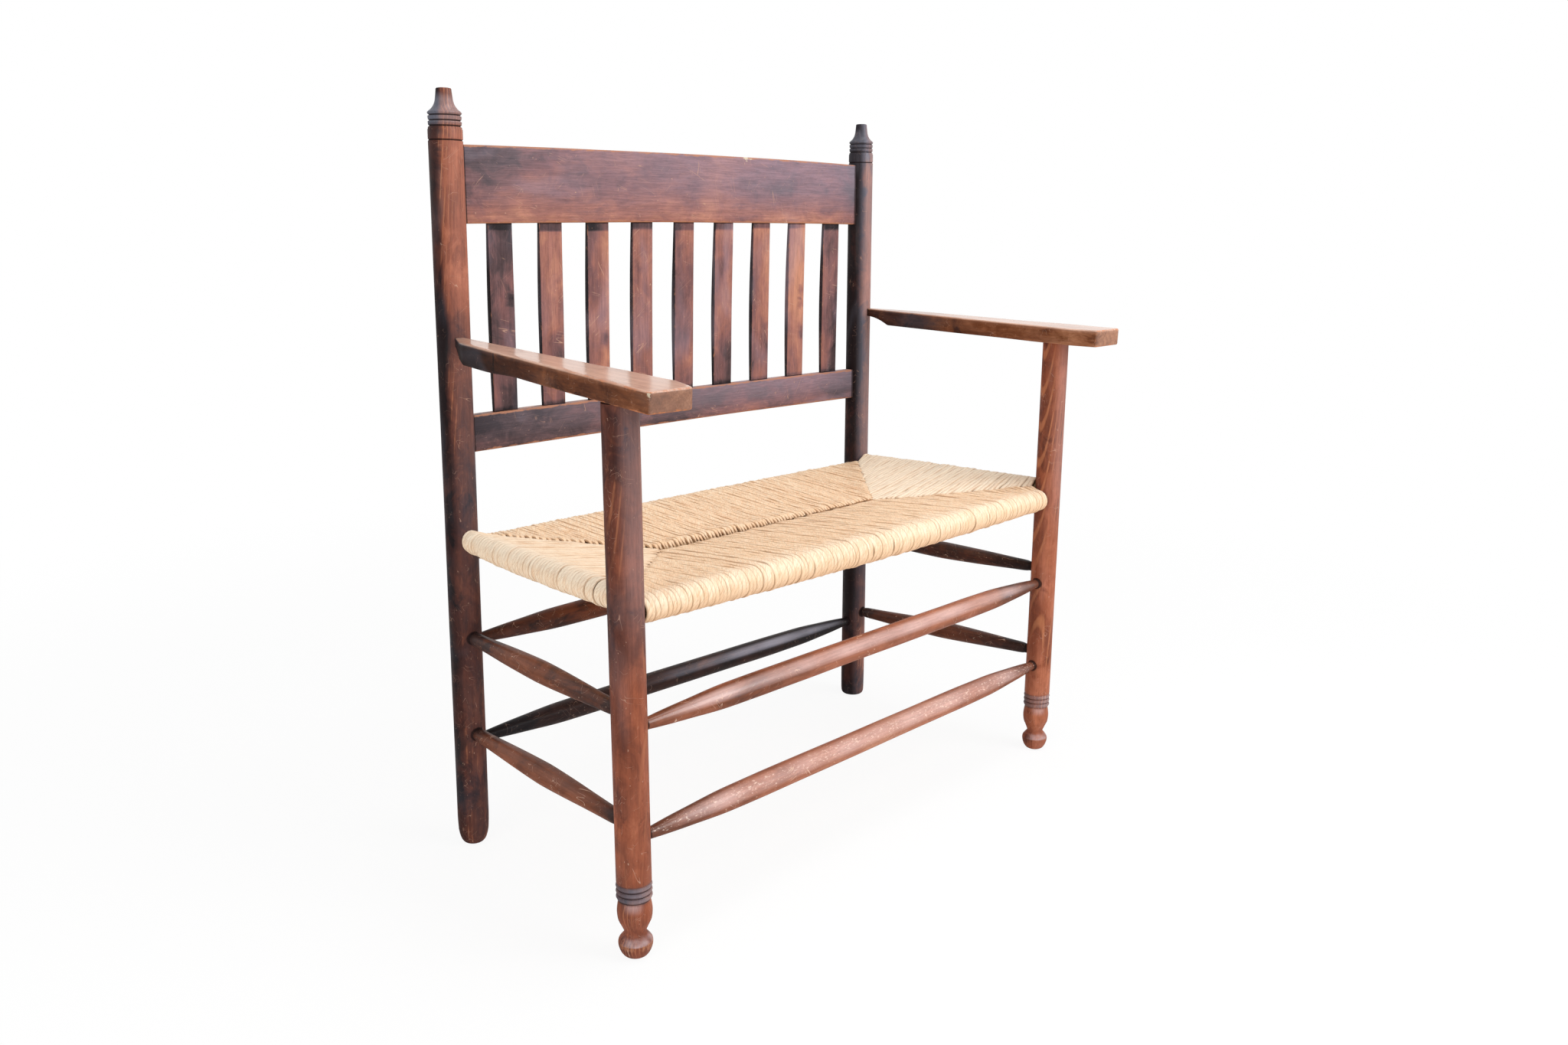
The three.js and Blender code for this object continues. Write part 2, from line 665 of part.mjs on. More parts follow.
function addArm(side, rearPostHere, frontPostHere, frontTop, outerAtFront, name) {
  const rear = axisAt(rearPostHere, armRearTop);
  const frontEnd = axisAt(frontPostHere, frontTop).y - armAheadOfFrontPost;
  const drop = armRearTop - frontTop;
  const length = Math.hypot(rear.y - frontEnd, drop);
  const away = new THREE.Vector3(0, rear.y - frontEnd, drop).normalize();
  const across = new THREE.Vector3(1, 0, 0);
  const upward = across.clone().cross(away);
  const inArmFrame = (geometry) => placeBy(new THREE.Mesh(geometry), rear, across, away, upward);
  const slab = board(armOutline(side, length, outerAtFront), armThickness, armRounding, 2)
    .translate(0, 0, -armThickness);
  const arm = inArmFrame(slab);

  const scoopWidth = outerAtFront + cutOverrun;
  const scoop = rod(armScoopRadius, -scoopWidth, scoopWidth, scoopSides).rotateY(Math.PI / 2)
    .translate(0, -armScoopFromAxis, -armScoopLeaves - armScoopRadius);
  cut(arm, [inArmFrame(scoop), postEnvelope(rearPostHere, fitClearance)]);

  const tenonRun = armScoopFromAxis + postRadius - tenonDepth;
  const tenonAway = tenonDepth - postRadius - tenonRun / 2;
  const tenon = (grow) => inArmFrame(
    box(armTenonWidth + 2 * grow, tenonRun + grow, armTenonThickness + 2 * grow)
      .translate(side * armTenonAside, tenonAway + grow / 2, -armScoopLeaves / 2));
  join(arm, [tenon(0)]);
  rearPostHere.cutters.push(tenon(fitClearance));

  // The front post is cut off square under the arm, and its round tenon goes up into it
  const underside = frontTop + drop * armAheadOfFrontPost / length - armThickness;
  const base = axisAt(frontPostHere, 0);
  const postUp = axisAt(frontPostHere, underside).sub(base).normalize();
  const shoulderAt = axisAt(frontPostHere, underside).distanceTo(base);
  const roomWidth = 2 * (postRadius + cutOverrun);
  const room = box(roomWidth, roomWidth, roomWidth)
    .translate(0, 0, -armThickness - fitClearance + roomWidth / 2);
  const above = inArmFrame(room);
  above.position.add(axisAt(frontPostHere, underside).sub(rear).projectOnPlane(upward));
  frontPostHere.shoulderAt = shoulderAt;
  frontPostHere.cutters.push(above);
  const pegTo = shoulderAt + armPostTenonLength;
  const pegFrom = shoulderAt - postRadius;
  const pegShape = (grow) => rod(armPostTenonRadius + grow, pegFrom, pegTo + grow, turningSides);
  const peg = (grow) => standAlong(new THREE.Mesh(pegShape(grow)), base, base.clone().add(postUp));
  frontPostHere.peg = peg(0);
  cut(arm, [peg(fitClearance)]);
  addPiece(arm, name, armWood);
}

function addArms() {
  addArm(left, posts.rearLeft, posts.frontLeft, armFrontTopLeft, armOuterAtFrontLeft, 'arm_left');
  addArm(right, posts.rearRight, posts.frontRight, armFrontTopRight, armOuterAtFrontRight, 'arm_right');
}

// Posts, turned in one piece from foot to top, then mortised for all that they hold

const floorBlock = new THREE.Mesh(
  box(rearSpanAtFloor * 2, depthAtFloor * 3, cutOverrun).translate(0, 0, -cutOverrun / 2));

function frontPostOutline(shoulderAt) {
  const bun = smoothTurning(bunShares, postRadius, frontFootHeight, 8);
  const vase = smoothTurning(vaseShares, postRadius, frontFootHeight, 7);
  const collar = collarShares.flatMap((share) => (
    groove(postRadius, share * frontFootHeight, collarGrooveDepth, ringGrooveWidth / 2)));
  return [
    [0, -footOverrun], [bun[0][0], -footOverrun], ...bun, ...vase, ...collar,
    [postRadius, shoulderAt + postRadius], [0, shoulderAt + postRadius],
  ];
}

function rearPostOutline(length) {
  const foot = smoothTurning(rearFootShares, postRadius, rearFootHeight, 5);
  const finialStart = length - finialHeight;
  const disc = finialDiscShare * postRadius;
  const rings = finialRingShares.flatMap((share) => (
    groove(disc, finialStart + share * finialHeight, ringGrooveDepth, ringGrooveWidth)));
  const flare = smoothTurning(finialFlareShares, postRadius, finialHeight, 6)
    .map(([radius, height]) => [radius, finialStart + height]);
  const top = finialTopShares.map(([radius, height]) => [
    radius * postRadius, finialStart + height * finialHeight,
  ]);
  return [
    [0, -footOverrun], [foot[0][0], -footOverrun], ...foot,
    ...groove(postRadius, finialStart, scoredLineDepth, scoredLineWidth), ...rings, ...flare, ...top,
  ];
}

function addPost(post, outline, name) {
  const whole = new THREE.Mesh(turned(outline, postSides));
  const mesh = standAlong(whole, axisAt(post, 0), axisAt(post, post.leanHeight));
  cut(mesh, [...post.cutters, floorBlock]);
  if (post.peg) join(mesh, [post.peg]);
  addPiece(mesh, name, postWood);
}

function addPosts() {
  const rearLength = axisAt(posts.rearLeft, rearPostHeight).distanceTo(axisAt(posts.rearLeft, 0));
  addPost(posts.frontLeft, frontPostOutline(posts.frontLeft.shoulderAt), 'front_post_left');
  addPost(posts.frontRight, frontPostOutline(posts.frontRight.shoulderAt), 'front_post_right');
  addPost(posts.rearLeft, rearPostOutline(rearLength), 'rear_post_left');
  addPost(posts.rearRight, rearPostOutline(rearLength), 'rear_post_right');
}

addStretchers();
addSeatRails();
addRush();
addBack();
addArms();
addPosts();

// Centre the outline over the origin, with the feet on the floor
const outlineBox = new THREE.Box3().setFromObject(settle, true);
const outlineCentre = outlineBox.getCenter(new THREE.Vector3());
settle.position.set(-outlineCentre.x, -outlineCentre.y, -outlineBox.min.z);

export default settle;
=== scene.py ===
"""A rush-seated settle for two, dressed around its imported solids.

The pieces are worked in millimetres, from the point on the floor midway between the
front posts, and are brought to the frame's metres as the last thing done to each mesh.
"""

import logging
import math
import random
from collections import defaultdict
from collections.abc import Callable, Iterable, Sequence
from dataclasses import dataclass, field
from enum import Enum
from itertools import pairwise
from typing import Any

import bmesh
import bpy
from mathutils import Matrix, Vector, noise


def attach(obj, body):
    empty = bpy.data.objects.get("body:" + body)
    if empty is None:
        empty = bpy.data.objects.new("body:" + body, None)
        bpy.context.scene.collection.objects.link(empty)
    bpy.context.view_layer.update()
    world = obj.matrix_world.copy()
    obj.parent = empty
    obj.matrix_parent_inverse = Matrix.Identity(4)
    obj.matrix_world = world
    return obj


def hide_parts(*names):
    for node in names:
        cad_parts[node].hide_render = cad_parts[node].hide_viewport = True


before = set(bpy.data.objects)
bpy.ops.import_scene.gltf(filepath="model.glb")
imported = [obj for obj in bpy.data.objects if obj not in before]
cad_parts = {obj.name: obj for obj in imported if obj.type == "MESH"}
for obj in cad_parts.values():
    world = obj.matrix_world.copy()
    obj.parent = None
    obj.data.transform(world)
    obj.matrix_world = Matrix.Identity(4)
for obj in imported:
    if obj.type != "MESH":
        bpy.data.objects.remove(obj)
log = logging.getLogger("settle")

MM = 0.001
BODY = "root"
OUTLINE_CENTRE = Vector((3.0, 163.49, 0.0))
UP = Vector((0, 0, 1))
ACROSS = Vector((1, 0, 0))
BACKWARD = Vector((0, 1, 0))
CREASE_ANGLE = math.radians(38)
SAME_PLACE = 1e-4

Profile = list[tuple[float, float]]
Stops = tuple[tuple[float, float], ...]
Colour = tuple[float, float, float]
Tone = Callable[[Vector], float]
Shape = bmesh.types.BMesh
Material = bpy.types.Material


class Slot(Enum):
    """The record's material slots."""

    POST = "post_wood"
    BACK = "back_wood"
    ARM = "arm_wood"
    STRETCHER = "stretcher_wood"
    RUSH = "rush"


class Side(Enum):
    """The two sides of the settle, by the sign of X."""

    LEFT = -1
    RIGHT = 1


def mix(start: float, end: float, share: float) -> float:
    """Return the value at a share of the way from start to end."""
    return start + (end - start) * share


def ease(value: float, low: float, high: float) -> float:
    """Return 0 below low, 1 above high, and a smooth step between them."""
    share = min(max((value - low) / (high - low), 0.0), 1.0)
    return share * share * (3 - 2 * share)


def along_stops(value: float, stops: Stops) -> float:
    """Return the value at a place along a row of stops, each a place and a value."""
    for (low, first), (high, second) in pairwise(stops):
        if value < high:
            return mix(first, second, ease(value, low, high))
    return stops[-1][1]


def stations(start: float, end: float, step: float) -> list[float]:
    """Return even places from start to end, no further apart than step."""
    count = max(1, math.ceil((end - start) / step))
    return [mix(start, end, i / count) for i in range(count + 1)]


def flowing(points: Sequence[tuple[float, float]], steps: int) -> Profile:
    """Return a smooth line through the points, with steps between each pair of them."""
    ends = [points[0], *points, points[-1]]
    line: Profile = []
    for a, b, c, d in zip(ends, ends[1:], ends[2:], ends[3:]):
        for i in range(steps):
            t = i / steps
            line.append(tuple(
                0.5 * (2 * b[k] + (c[k] - a[k]) * t + (2 * a[k] - 5 * b[k] + 4 * c[k] - d[k]) * t * t
                       + (3 * b[k] - a[k] - 3 * c[k] + d[k]) * t ** 3)
                for k in (0, 1)))
    return [*line, points[-1]]


def placed(origin: Vector, across: Vector, away: Vector, along: Vector) -> Matrix:
    """Return the matrix that takes a piece's own origin and X, Y and Z to where it stands."""
    return Matrix.Translation(origin) @ Matrix((across, away, along)).transposed().to_4x4()


def stood(start: Vector, end: Vector) -> Matrix:
    """Return the matrix that stands a turning made along Z on the line from start to end."""
    return Matrix.Translation(start) @ UP.rotation_difference(end - start).to_matrix().to_4x4()


@dataclass(frozen=True)
class PostLine:
    """Where a post's axis runs."""

    side: Side
    span_at_floor: float
    span_above: float
    lean_height: float
    depth: float
    setback: float

    def at(self, height: float) -> Vector:
        """Return the point of the axis at a height above the floor."""
        rise = height / self.lean_height
        span = mix(self.span_at_floor, self.span_above, rise)
        return Vector((self.side.value * span / 2, self.depth + self.setback * rise, height))


@dataclass(frozen=True)
class Skeleton:
    """The four post lines, and the post's radius and height."""

    post_radius: float = 20.4
    rear_height: float = 970.5
    front_left: PostLine = PostLine(Side.LEFT, 842, 851, 650, 0, 14)
    front_right: PostLine = PostLine(Side.RIGHT, 842, 851, 650, 0, 14)
    rear_left: PostLine = PostLine(Side.LEFT, 792, 775, 970.5, 362.5, 14.6)
    rear_right: PostLine = PostLine(Side.RIGHT, 792, 775, 970.5, 362.5, 14.6)


SKELETON = Skeleton()


# Shaders


class Signal:
    """What a node puts out. Sums, differences and products of signals are Math nodes."""

    def __init__(self, bench: "NodeBench", socket: bpy.types.NodeSocket) -> None:
        """Keep the socket, and the bench that it is on."""
        self.bench = bench
        self.socket = socket

    def __add__(self, other: Any) -> "Signal":
        """Return this signal plus a number or another signal."""
        return self.bench.maths("ADD", self, other)

    def __radd__(self, other: float) -> "Signal":
        """Return a number plus this signal."""
        return self.bench.maths("ADD", other, self)

    def __sub__(self, other: Any) -> "Signal":
        """Return this signal less a number or another signal."""
        return self.bench.maths("SUBTRACT", self, other)

    def __rsub__(self, other: float) -> "Signal":
        """Return a number less this signal."""
        return self.bench.maths("SUBTRACT", other, self)

    def __mul__(self, other: Any) -> "Signal":
        """Return this signal times a number or another signal."""
        return self.bench.maths("MULTIPLY", self, other)

    def at_least(self, other: Any) -> "Signal":
        """Return the larger of this signal and a number or another signal."""
        return self.bench.maths("MAXIMUM", self, other)

    def scaled(self, x: float, y: float, z: float) -> "Signal":
        """Return this vector with each part multiplied."""
        return self.bench.vector_maths("MULTIPLY", self, (x, y, z))

    def shifted(self, by: Any) -> "Signal":
        """Return this vector plus another."""
        return self.bench.vector_maths("ADD", self, by)

    def step(self, low: float, high: float, to_low: float = 0.0, to_high: float = 1.0) -> "Signal":
        """Return a smooth step from to_low to to_high, as this signal goes from low to high."""
        return self.bench.add("MapRange", {0: self, 1: low, 2: high, 3: to_low, 4: to_high},
                              interpolation_type="SMOOTHSTEP")

    def noise(self, scale: Any, detail: float = 3.0, roughness: float = 0.55, distortion: float = 0.0
              ) -> "Signal":
        """Return a noise from 0 to 1, looked up at this vector."""
        return self.bench.add("TexNoise", {"Vector": self, "Scale": scale, "Detail": detail,
                                           "Roughness": roughness, "Distortion": distortion}, "Fac")


class NodeBench:
    """Adds nodes to one node tree, each with its inputs set or linked."""

    def __init__(self, tree: bpy.types.NodeTree) -> None:
        """Keep the tree that the nodes go into."""
        self.tree = tree

    def fill(self, node: bpy.types.Node, inputs: dict[int | str, Any]) -> None:
        """Set or link a node's inputs.

        Args:
            node: The node.
            inputs: A value or a signal for each input, by name or number.
        """
        for key, value in inputs.items():
            if isinstance(value, Signal):
                self.tree.links.new(value.socket, node.inputs[key])
            else:
                node.inputs[key].default_value = value

    def node(self, kind: str, inputs: dict[int | str, Any], **settings: Any) -> bpy.types.Node:
        """Add a node.

        Args:
            kind: The node's type, without the word ShaderNode before it.
            inputs: A value or a signal for each input, by name or number.
            settings: Values for the node's own properties.

        Returns:
            The new node.
        """
        node = self.tree.nodes.new("ShaderNode" + kind)
        for name, value in settings.items():
            setattr(node, name, value)
        self.fill(node, inputs)
        return node

    def add(self, kind: str, inputs: dict[int | str, Any], output: int | str = 0, **settings: Any) -> Signal:
        """Add a node, and return one of its outputs."""
        return Signal(self, self.node(kind, inputs, **settings).outputs[output])

    def maths(self, operation: str, *values: Any) -> Signal:
        """Return the result of a Math node."""
        return self.add("Math", dict(enumerate(values)), operation=operation)

    def vector_maths(self, operation: str, *values: Any) -> Signal:
        """Return the result of a Vector Math node."""
        return self.add("VectorMath", dict(enumerate(values)), operation=operation)

    def vector(self, x: Any, y: Any, z: Any) -> Signal:
        """Return a vector of three parts."""
        return self.add("CombineXYZ", {0: x, 1: y, 2: z})

    def parts(self, vector: Signal) -> list[Signal]:
        """Return the three parts of a vector."""
        return [Signal(self, socket) for socket in self.node("SeparateXYZ", {0: vector}).outputs]

    def blend(self, share: Any, first: Any, second: Any, mode: str = "MIX") -> Signal:
        """Mix two colours, each given as a colour or as a signal.

        Args:
            share: How much of the second colour is used.
            first: The first colour.
            second: The second colour.
            mode: The way they are mixed.

        Returns:
            The mixed colour.
        """
        pair = [colour if isinstance(colour, Signal) else (*colour, 1.0) for colour in (first, second)]
        return self.add("Mix", {0: share, 6: pair[0], 7: pair[1]}, 2, data_type="RGBA", blend_type=mode)

    def ramp(self, value: Signal, stops: Sequence[tuple[float, Colour]]) -> Signal:
        """Look a colour up along a row of stops.

        Args:
            value: The place to look up.
            stops: The stops, each a place and a colour.

        Returns:
            The colour there.
        """
        node = self.node("ValToRGB", {0: value})
        elements = node.color_ramp.elements
        while len(elements) < len(stops):
            elements.new(0.5)
        for element, (place, colour) in zip(elements, stops):
            element.position = place
            element.color = (*colour, 1.0)
        return Signal(self, node.outputs[0])

    def attribute(self, name: str, output: str = "Fac") -> Signal:
        """Return a mesh attribute."""
        return self.add("Attribute", {}, output, attribute_name=name)

    def group(self, tree: bpy.types.NodeTree, inputs: dict[str, Any]) -> dict[str, Signal]:
        """Place a node group, and return its outputs by name."""
        node = self.node("Group", inputs, node_tree=tree)
        return {socket.name: Signal(self, socket) for socket in node.outputs}

    def bump(self, height: Signal, strength: float, distance: float) -> Signal:
        """Return a normal bumped by a height."""
        return self.add("Bump", {"Strength": strength, "Distance": distance, "Height": height})


def blank_material(name: str) -> tuple[Material, NodeBench, bpy.types.Node]:
    """Make a material.

    Args:
        name: The material's name.

    Returns:
        The material, its bench and its Principled shader.
    """
    material = bpy.data.materials.new(name)
    material.use_nodes = True
    tree = material.node_tree
    return material, NodeBench(tree), tree.nodes["Principled BSDF"]


class Effect:
    """A shader node group with named inputs and outputs, built once."""

    def __init__(self, name: str, inputs: dict[str, float | None], outputs: Iterable[str]) -> None:
        """Make the group's tree and its sockets.

        Args:
            name: The group's name.
            inputs: The default of each input, by name, or None for a vector.
            outputs: The outputs' names.
        """
        self.tree = bpy.data.node_groups.new(name, "ShaderNodeTree")
        for label, value in inputs.items():
            kind = "NodeSocketVector" if value is None else "NodeSocketFloat"
            socket = self.tree.interface.new_socket(label, in_out="INPUT", socket_type=kind)
            if value is not None:
                socket.default_value = value
        for label in outputs:
            self.tree.interface.new_socket(label, in_out="OUTPUT", socket_type="NodeSocketFloat")
        self.bench = NodeBench(self.tree)
        given = self.tree.nodes.new("NodeGroupInput")
        self.given = {label: Signal(self.bench, given.outputs[label]) for label in inputs}

    def finished(self, **results: Signal) -> bpy.types.NodeTree:
        """Send signals to the group's outputs, and return its tree."""
        self.bench.fill(self.tree.nodes.new("NodeGroupOutput"), results)
        return self.tree


class Effects:
    """The groups that more than one finish uses."""

    def __init__(self) -> None:
        """Build every group."""
        self.grain = self._grain()
        self.stain = self._stain()
        self.wear = self._wear()
        self.scratches = self._scratches()
        self.fibres = self._fibres()

    @staticmethod
    def _grain() -> bpy.types.NodeTree:
        """Build the group for a turned or sawn wood's figure and fibre.

        Returns:
            The group. Its lay is a place in the log, and its own place is on the piece.
        """
        effect = Effect("WoodGrain", {"Lay": None, "Own": None, "Figure Scale": 40.0, "Fibre Scale": 420.0,
                                      "Ring Scale": 34.0},
                        ("Figure", "Rings", "Fibre", "Pores", "Flame", "Height"))
        b, given, lay = effect.bench, effect.given, effect.given["Lay"]
        rings = b.add("TexWave", {"Vector": lay.scaled(1.0, 0.8, 0.045), "Scale": given["Ring Scale"],
                                  "Distortion": 5.0, "Detail": 2.0, "Detail Scale": 0.7,
                                  "Detail Roughness": 0.55}, "Fac",
                      wave_type="RINGS", rings_direction="Z", wave_profile="SAW")
        long_lay = lay.scaled(1.0, 1.0, 0.09)
        figure = long_lay.noise(given["Figure Scale"], 4.0, 0.6, 0.9)
        fibre = lay.scaled(1.0, 1.0, 0.05).noise(given["Fibre Scale"], 3.0, 0.65)
        pores = lay.scaled(1.0, 1.0, 0.08).noise(1400.0, 1.0).step(0.62, 0.72)
        x, y, z = b.parts(given["Own"])
        from_heart = b.vector(x + b.maths("MULTIPLY_ADD", z, -0.07, 0.02),
                              y + b.maths("MULTIPLY_ADD", z, 0.02, -0.002), z * 0.1)
        flame = b.add("TexWave", {"Vector": from_heart, "Scale": 80.0, "Distortion": 1.6, "Detail": 2.0,
                                  "Detail Scale": 0.3, "Detail Roughness": 0.6}, "Fac",
                      wave_type="RINGS", rings_direction="Z", wave_profile="SIN")
        where = long_lay.noise(16.0, 2.0).step(0.42, 0.58)
        return effect.finished(
            Figure=figure.step(0.3, 0.7), Rings=rings.step(0.1, 0.95), Fibre=fibre.step(0.3, 0.7),
            Pores=pores, Flame=flame.step(0.72, 0.98) * where, Height=fibre - pores * 0.6)

    @staticmethod
    def _stain() -> bpy.types.NodeTree:
        """Build the group for an old stain's uneven tone.

        Returns:
            The group. Its tone goes from 0, dark and grey, to 1, worn and warm.
        """
        effect = Effect("OldStain", {"Lay": None, "Tone": 0.5, "Mottle": 0.5, "Streak": 0.2, "Blotch": 0.2},
                        ("Tone",))
        b, given, lay = effect.bench, effect.given, effect.given["Lay"]
        broad = lay.scaled(1.0, 1.0, 0.55).noise(10.0, 2.0, 0.5, 0.5)
        small = lay.scaled(1.0, 1.0, 0.6).noise(44.0, 4.0, 0.65, 0.8)
        lines = lay.scaled(1.0, 1.0, 0.07).noise(210.0, 3.0, 0.6)
        dark = lay.scaled(1.0, 1.0, 0.55).noise(19.0, 5.0, 0.62, 1.2).step(0.55, 0.66)
        mottle = (broad - 0.5) * given["Mottle"]
        fine = (small - 0.5) * (given["Mottle"] * 0.5)
        streak = (lines - 0.5) * given["Streak"]
        tone = (given["Tone"] + mottle * 2.4) + (fine * 3.2 + streak * 2.0) - dark * given["Blotch"]
        return effect.finished(Tone=b.maths("MINIMUM", tone.at_least(0.0), 1.0))

    @staticmethod
    def _wear() -> bpy.types.NodeTree:
        """Return the group that breaks up a mask painted on the mesh."""
        effect = Effect("RaggedMask", {"Lay": None, "Mask": 0.0, "Ragged": 0.8, "Scale": 160.0}, ("Mask",))
        given = effect.given
        broken = given["Lay"].scaled(1.0, 1.0, 0.4).noise(given["Scale"], 3.0, 0.65)
        shift = (broken - 0.5) * given["Ragged"]
        return effect.finished(Mask=(given["Mask"] + shift * 2.0).step(0.35, 0.75))

    @staticmethod
    def _scratches() -> bpy.types.NodeTree:
        """Return the group for fine pale scratches and knocks."""
        effect = Effect("FineScratches", {"Lay": None, "Amount": 0.5}, ("Mask",))
        b, lay = effect.bench, effect.given["Lay"]
        marks = lay.scaled(1.0, 1.0, 0.6).noise(300.0, 2.0).step(0.7, 0.78)
        for turn, stretch, scale in ((0.35, 0.04, 80.0), (-0.9, 0.06, 110.0), (1.35, 0.05, 70.0)):
            turned = b.add("VectorRotate", {"Vector": lay, "Angle": turn}, rotation_type="Y_AXIS")
            line = b.maths("ABSOLUTE", turned.scaled(1.0, 1.0, stretch).noise(scale, 1.0) - 0.5)
            where = lay.shifted((turn, turn, turn)).noise(42.0, 2.0).step(0.56, 0.65)
            marks = marks.at_least(line.step(0.0, 0.006, 1.0, 0.0) * where)
        return effect.finished(Mask=marks * effect.given["Amount"])

    @staticmethod
    def _fibres() -> bpy.types.NodeTree:
        """Build the group for leaves twisted together into a strand.

        Returns:
            The group. Its lay is the place round the strand, as a cosine and a sine, and along it.
        """
        effect = Effect("TwistedLeaves", {"Lay": None, "Strand": 0.0, "Turns Per Metre": 34.0},
                        ("Leaf", "Streak", "Patch", "Height"))
        b, given = effect.bench, effect.given
        x, y, z = b.parts(given["Lay"])
        turned = b.add("VectorRotate", {"Vector": b.vector(x, y, 0.0),
                                        "Angle": z * given["Turns Per Metre"] * math.tau},
                       rotation_type="Z_AXIS")
        shift = given["Strand"] * 61.0
        leaf_lay = turned.shifted(b.vector(0.0, 0.0, z * 9.0 + shift))
        leaf, streak = leaf_lay.noise(1.1, 1.0), leaf_lay.noise(4.2, 3.0, 0.6)
        patch = b.vector(shift, 0.0, z * 24.0).noise(1.0, 3.0, 0.6)
        return effect.finished(Leaf=leaf.step(0.35, 0.65), Streak=streak.step(0.3, 0.7),
                               Patch=patch.step(0.3, 0.7), Height=leaf * 0.7 + streak * 0.3)


@dataclass(frozen=True)
class AgedWood:
    """A stained and worn wood, from its darkest tone to its warmest."""

    name: str
    stops: tuple[tuple[float, Colour], ...]
    mottle: float = 0.36
    streak: float = 0.1
    blotch: float = 0.2
    figure_shade: Colour = (0.6, 0.5, 0.48)
    figure_depth: float = 0.3
    figure_scale: float = 40.0
    ring_depth: float = 0.3
    flame: float = 0.0
    flame_colour: Colour = (0.55, 0.21, 0.1)
    fibre_scale: float = 420.0
    fibre_depth: float = 0.08
    pore: Colour = (0.02, 0.012, 0.01)
    roughness: float = 0.46
    gloss: float = 0.14
    edge: Colour = (0.46, 0.2, 0.11)
    edge_strength: float = 0.8
    # Colours of grey polish bloom and of painted sheen and highlights, on light and on dark tones, and the
    # share of random painted sheen haze.
    bloom: Colour = (0.3, 0.21, 0.22)
    dark_sheen_and_bloom: Colour = (0.4, 0.42, 0.53)
    sheen_haze_amount: float = 0.22
    polish: float = 0.16
    least_polish: float = 0.12
    polish_roughness: float = 0.22
    bare: Colour = (0.62, 0.52, 0.38)
    scratch: Colour = (0.55, 0.33, 0.24)
    scratch_amount: float = 0.5
    dirt_and_groove_shade: Colour = (0.018, 0.011, 0.011)
    bump: float = 0.16

    def material(self, effects: Effects) -> Material:
        """Build the wood's material.

        Args:
            effects: The groups for grain, stain, wear and scratches.

        Returns:
            The material, which reads the attributes that Workpiece.age writes.
        """
        material, b, shader = blank_material(self.name)
        own, piece = b.attribute("grain", "Vector"), b.attribute("piece")
        lay = own.shifted(b.vector(piece, piece, piece).scaled(7.3, 11.9, 23.1))

        def ragged(mask: str, **settings: float) -> Signal:
            """Return a painted mask, broken up."""
            return b.group(effects.wear, {"Lay": lay, "Mask": b.attribute(mask), **settings})["Mask"]

        grain = b.group(effects.grain, {"Lay": lay, "Own": own, "Figure Scale": self.figure_scale,
                                        "Fibre Scale": self.fibre_scale})
        tone = b.group(effects.stain, {"Lay": lay, "Tone": b.attribute("tone"), "Mottle": self.mottle,
                                       "Streak": self.streak, "Blotch": self.blotch})["Tone"]
        grime = ragged("grime", Ragged=0.3, Scale=90.0)
        amount = tone.step(0.05, 0.5, 0.35 * self.scratch_amount, self.scratch_amount)
        scratch = b.group(effects.scratches, {"Lay": lay, "Amount": amount})["Mask"]
        # Painted sheen: random patches of grey haze that stand for reflected light, with some grey polish
        # bloom.
        sheen_haze = lay.scaled(1.0, 1.0, 0.4).noise(19.0, 2.0, 0.5, 0.4).step(0.48, 0.72) * self.sheen_haze_amount
        flame = tone.step(0.3, 0.6, 0.0, self.flame) * tone.step(0.66, 0.84, 1.0, 0.2)
        fibre = grain["Fibre"].step(0.0, 1.0, 1.0 - self.fibre_depth, 1.0 + self.fibre_depth)

        colour = b.ramp(tone, self.stops)
        darker = b.blend(1.0, colour, self.figure_shade, "MULTIPLY")
        colour = b.blend(grain["Figure"] * self.figure_depth, colour, darker)
        colour = b.blend(grain["Rings"] * self.ring_depth, colour, darker)
        colour = b.blend(grain["Flame"] * flame, colour, self.flame_colour)
        # Painted sheen and highlights, with grey polish bloom, laid over the stain.
        colour = b.blend(sheen_haze.at_least(b.attribute("bloom")), colour,
                         b.blend(tone.step(0.1, 0.45), self.dark_sheen_and_bloom, self.bloom))
        colour = b.blend(1.0, colour, b.vector(fibre, fibre, fibre), "MULTIPLY")
        colour = b.blend(grain["Pores"] * 0.2, colour, self.pore)
        colour = b.blend(ragged("wear") * self.edge_strength, colour, self.edge)
        colour = b.blend(scratch, colour, self.scratch)
        # Dirt at joints and ends, and on the posts painted shade in their grooves.
        colour = b.blend(grime * 0.85, colour, self.dirt_and_groove_shade)
        colour = b.blend(ragged("bare", Ragged=0.9, Scale=420.0), colour, self.bare)

        marred = grime.at_least(scratch)
        patchy = lay.scaled(1.0, 1.0, 0.6).noise(24.0, 3.0, 0.6).step(
            0.42, 0.6, self.polish * self.least_polish, self.polish).at_least(b.attribute("polish"))
        b.fill(shader, {
            "Base Color": colour, "Roughness": self.roughness + grain["Fibre"] * 0.12 + marred * 0.2,
            "Normal": b.bump(grain["Height"] - scratch * 0.5, self.bump, 0.0006),
            "Coat Weight": patchy * (1.0 - marred), "Coat Roughness": self.polish_roughness,
            "Specular IOR Level": self.gloss})
        return material


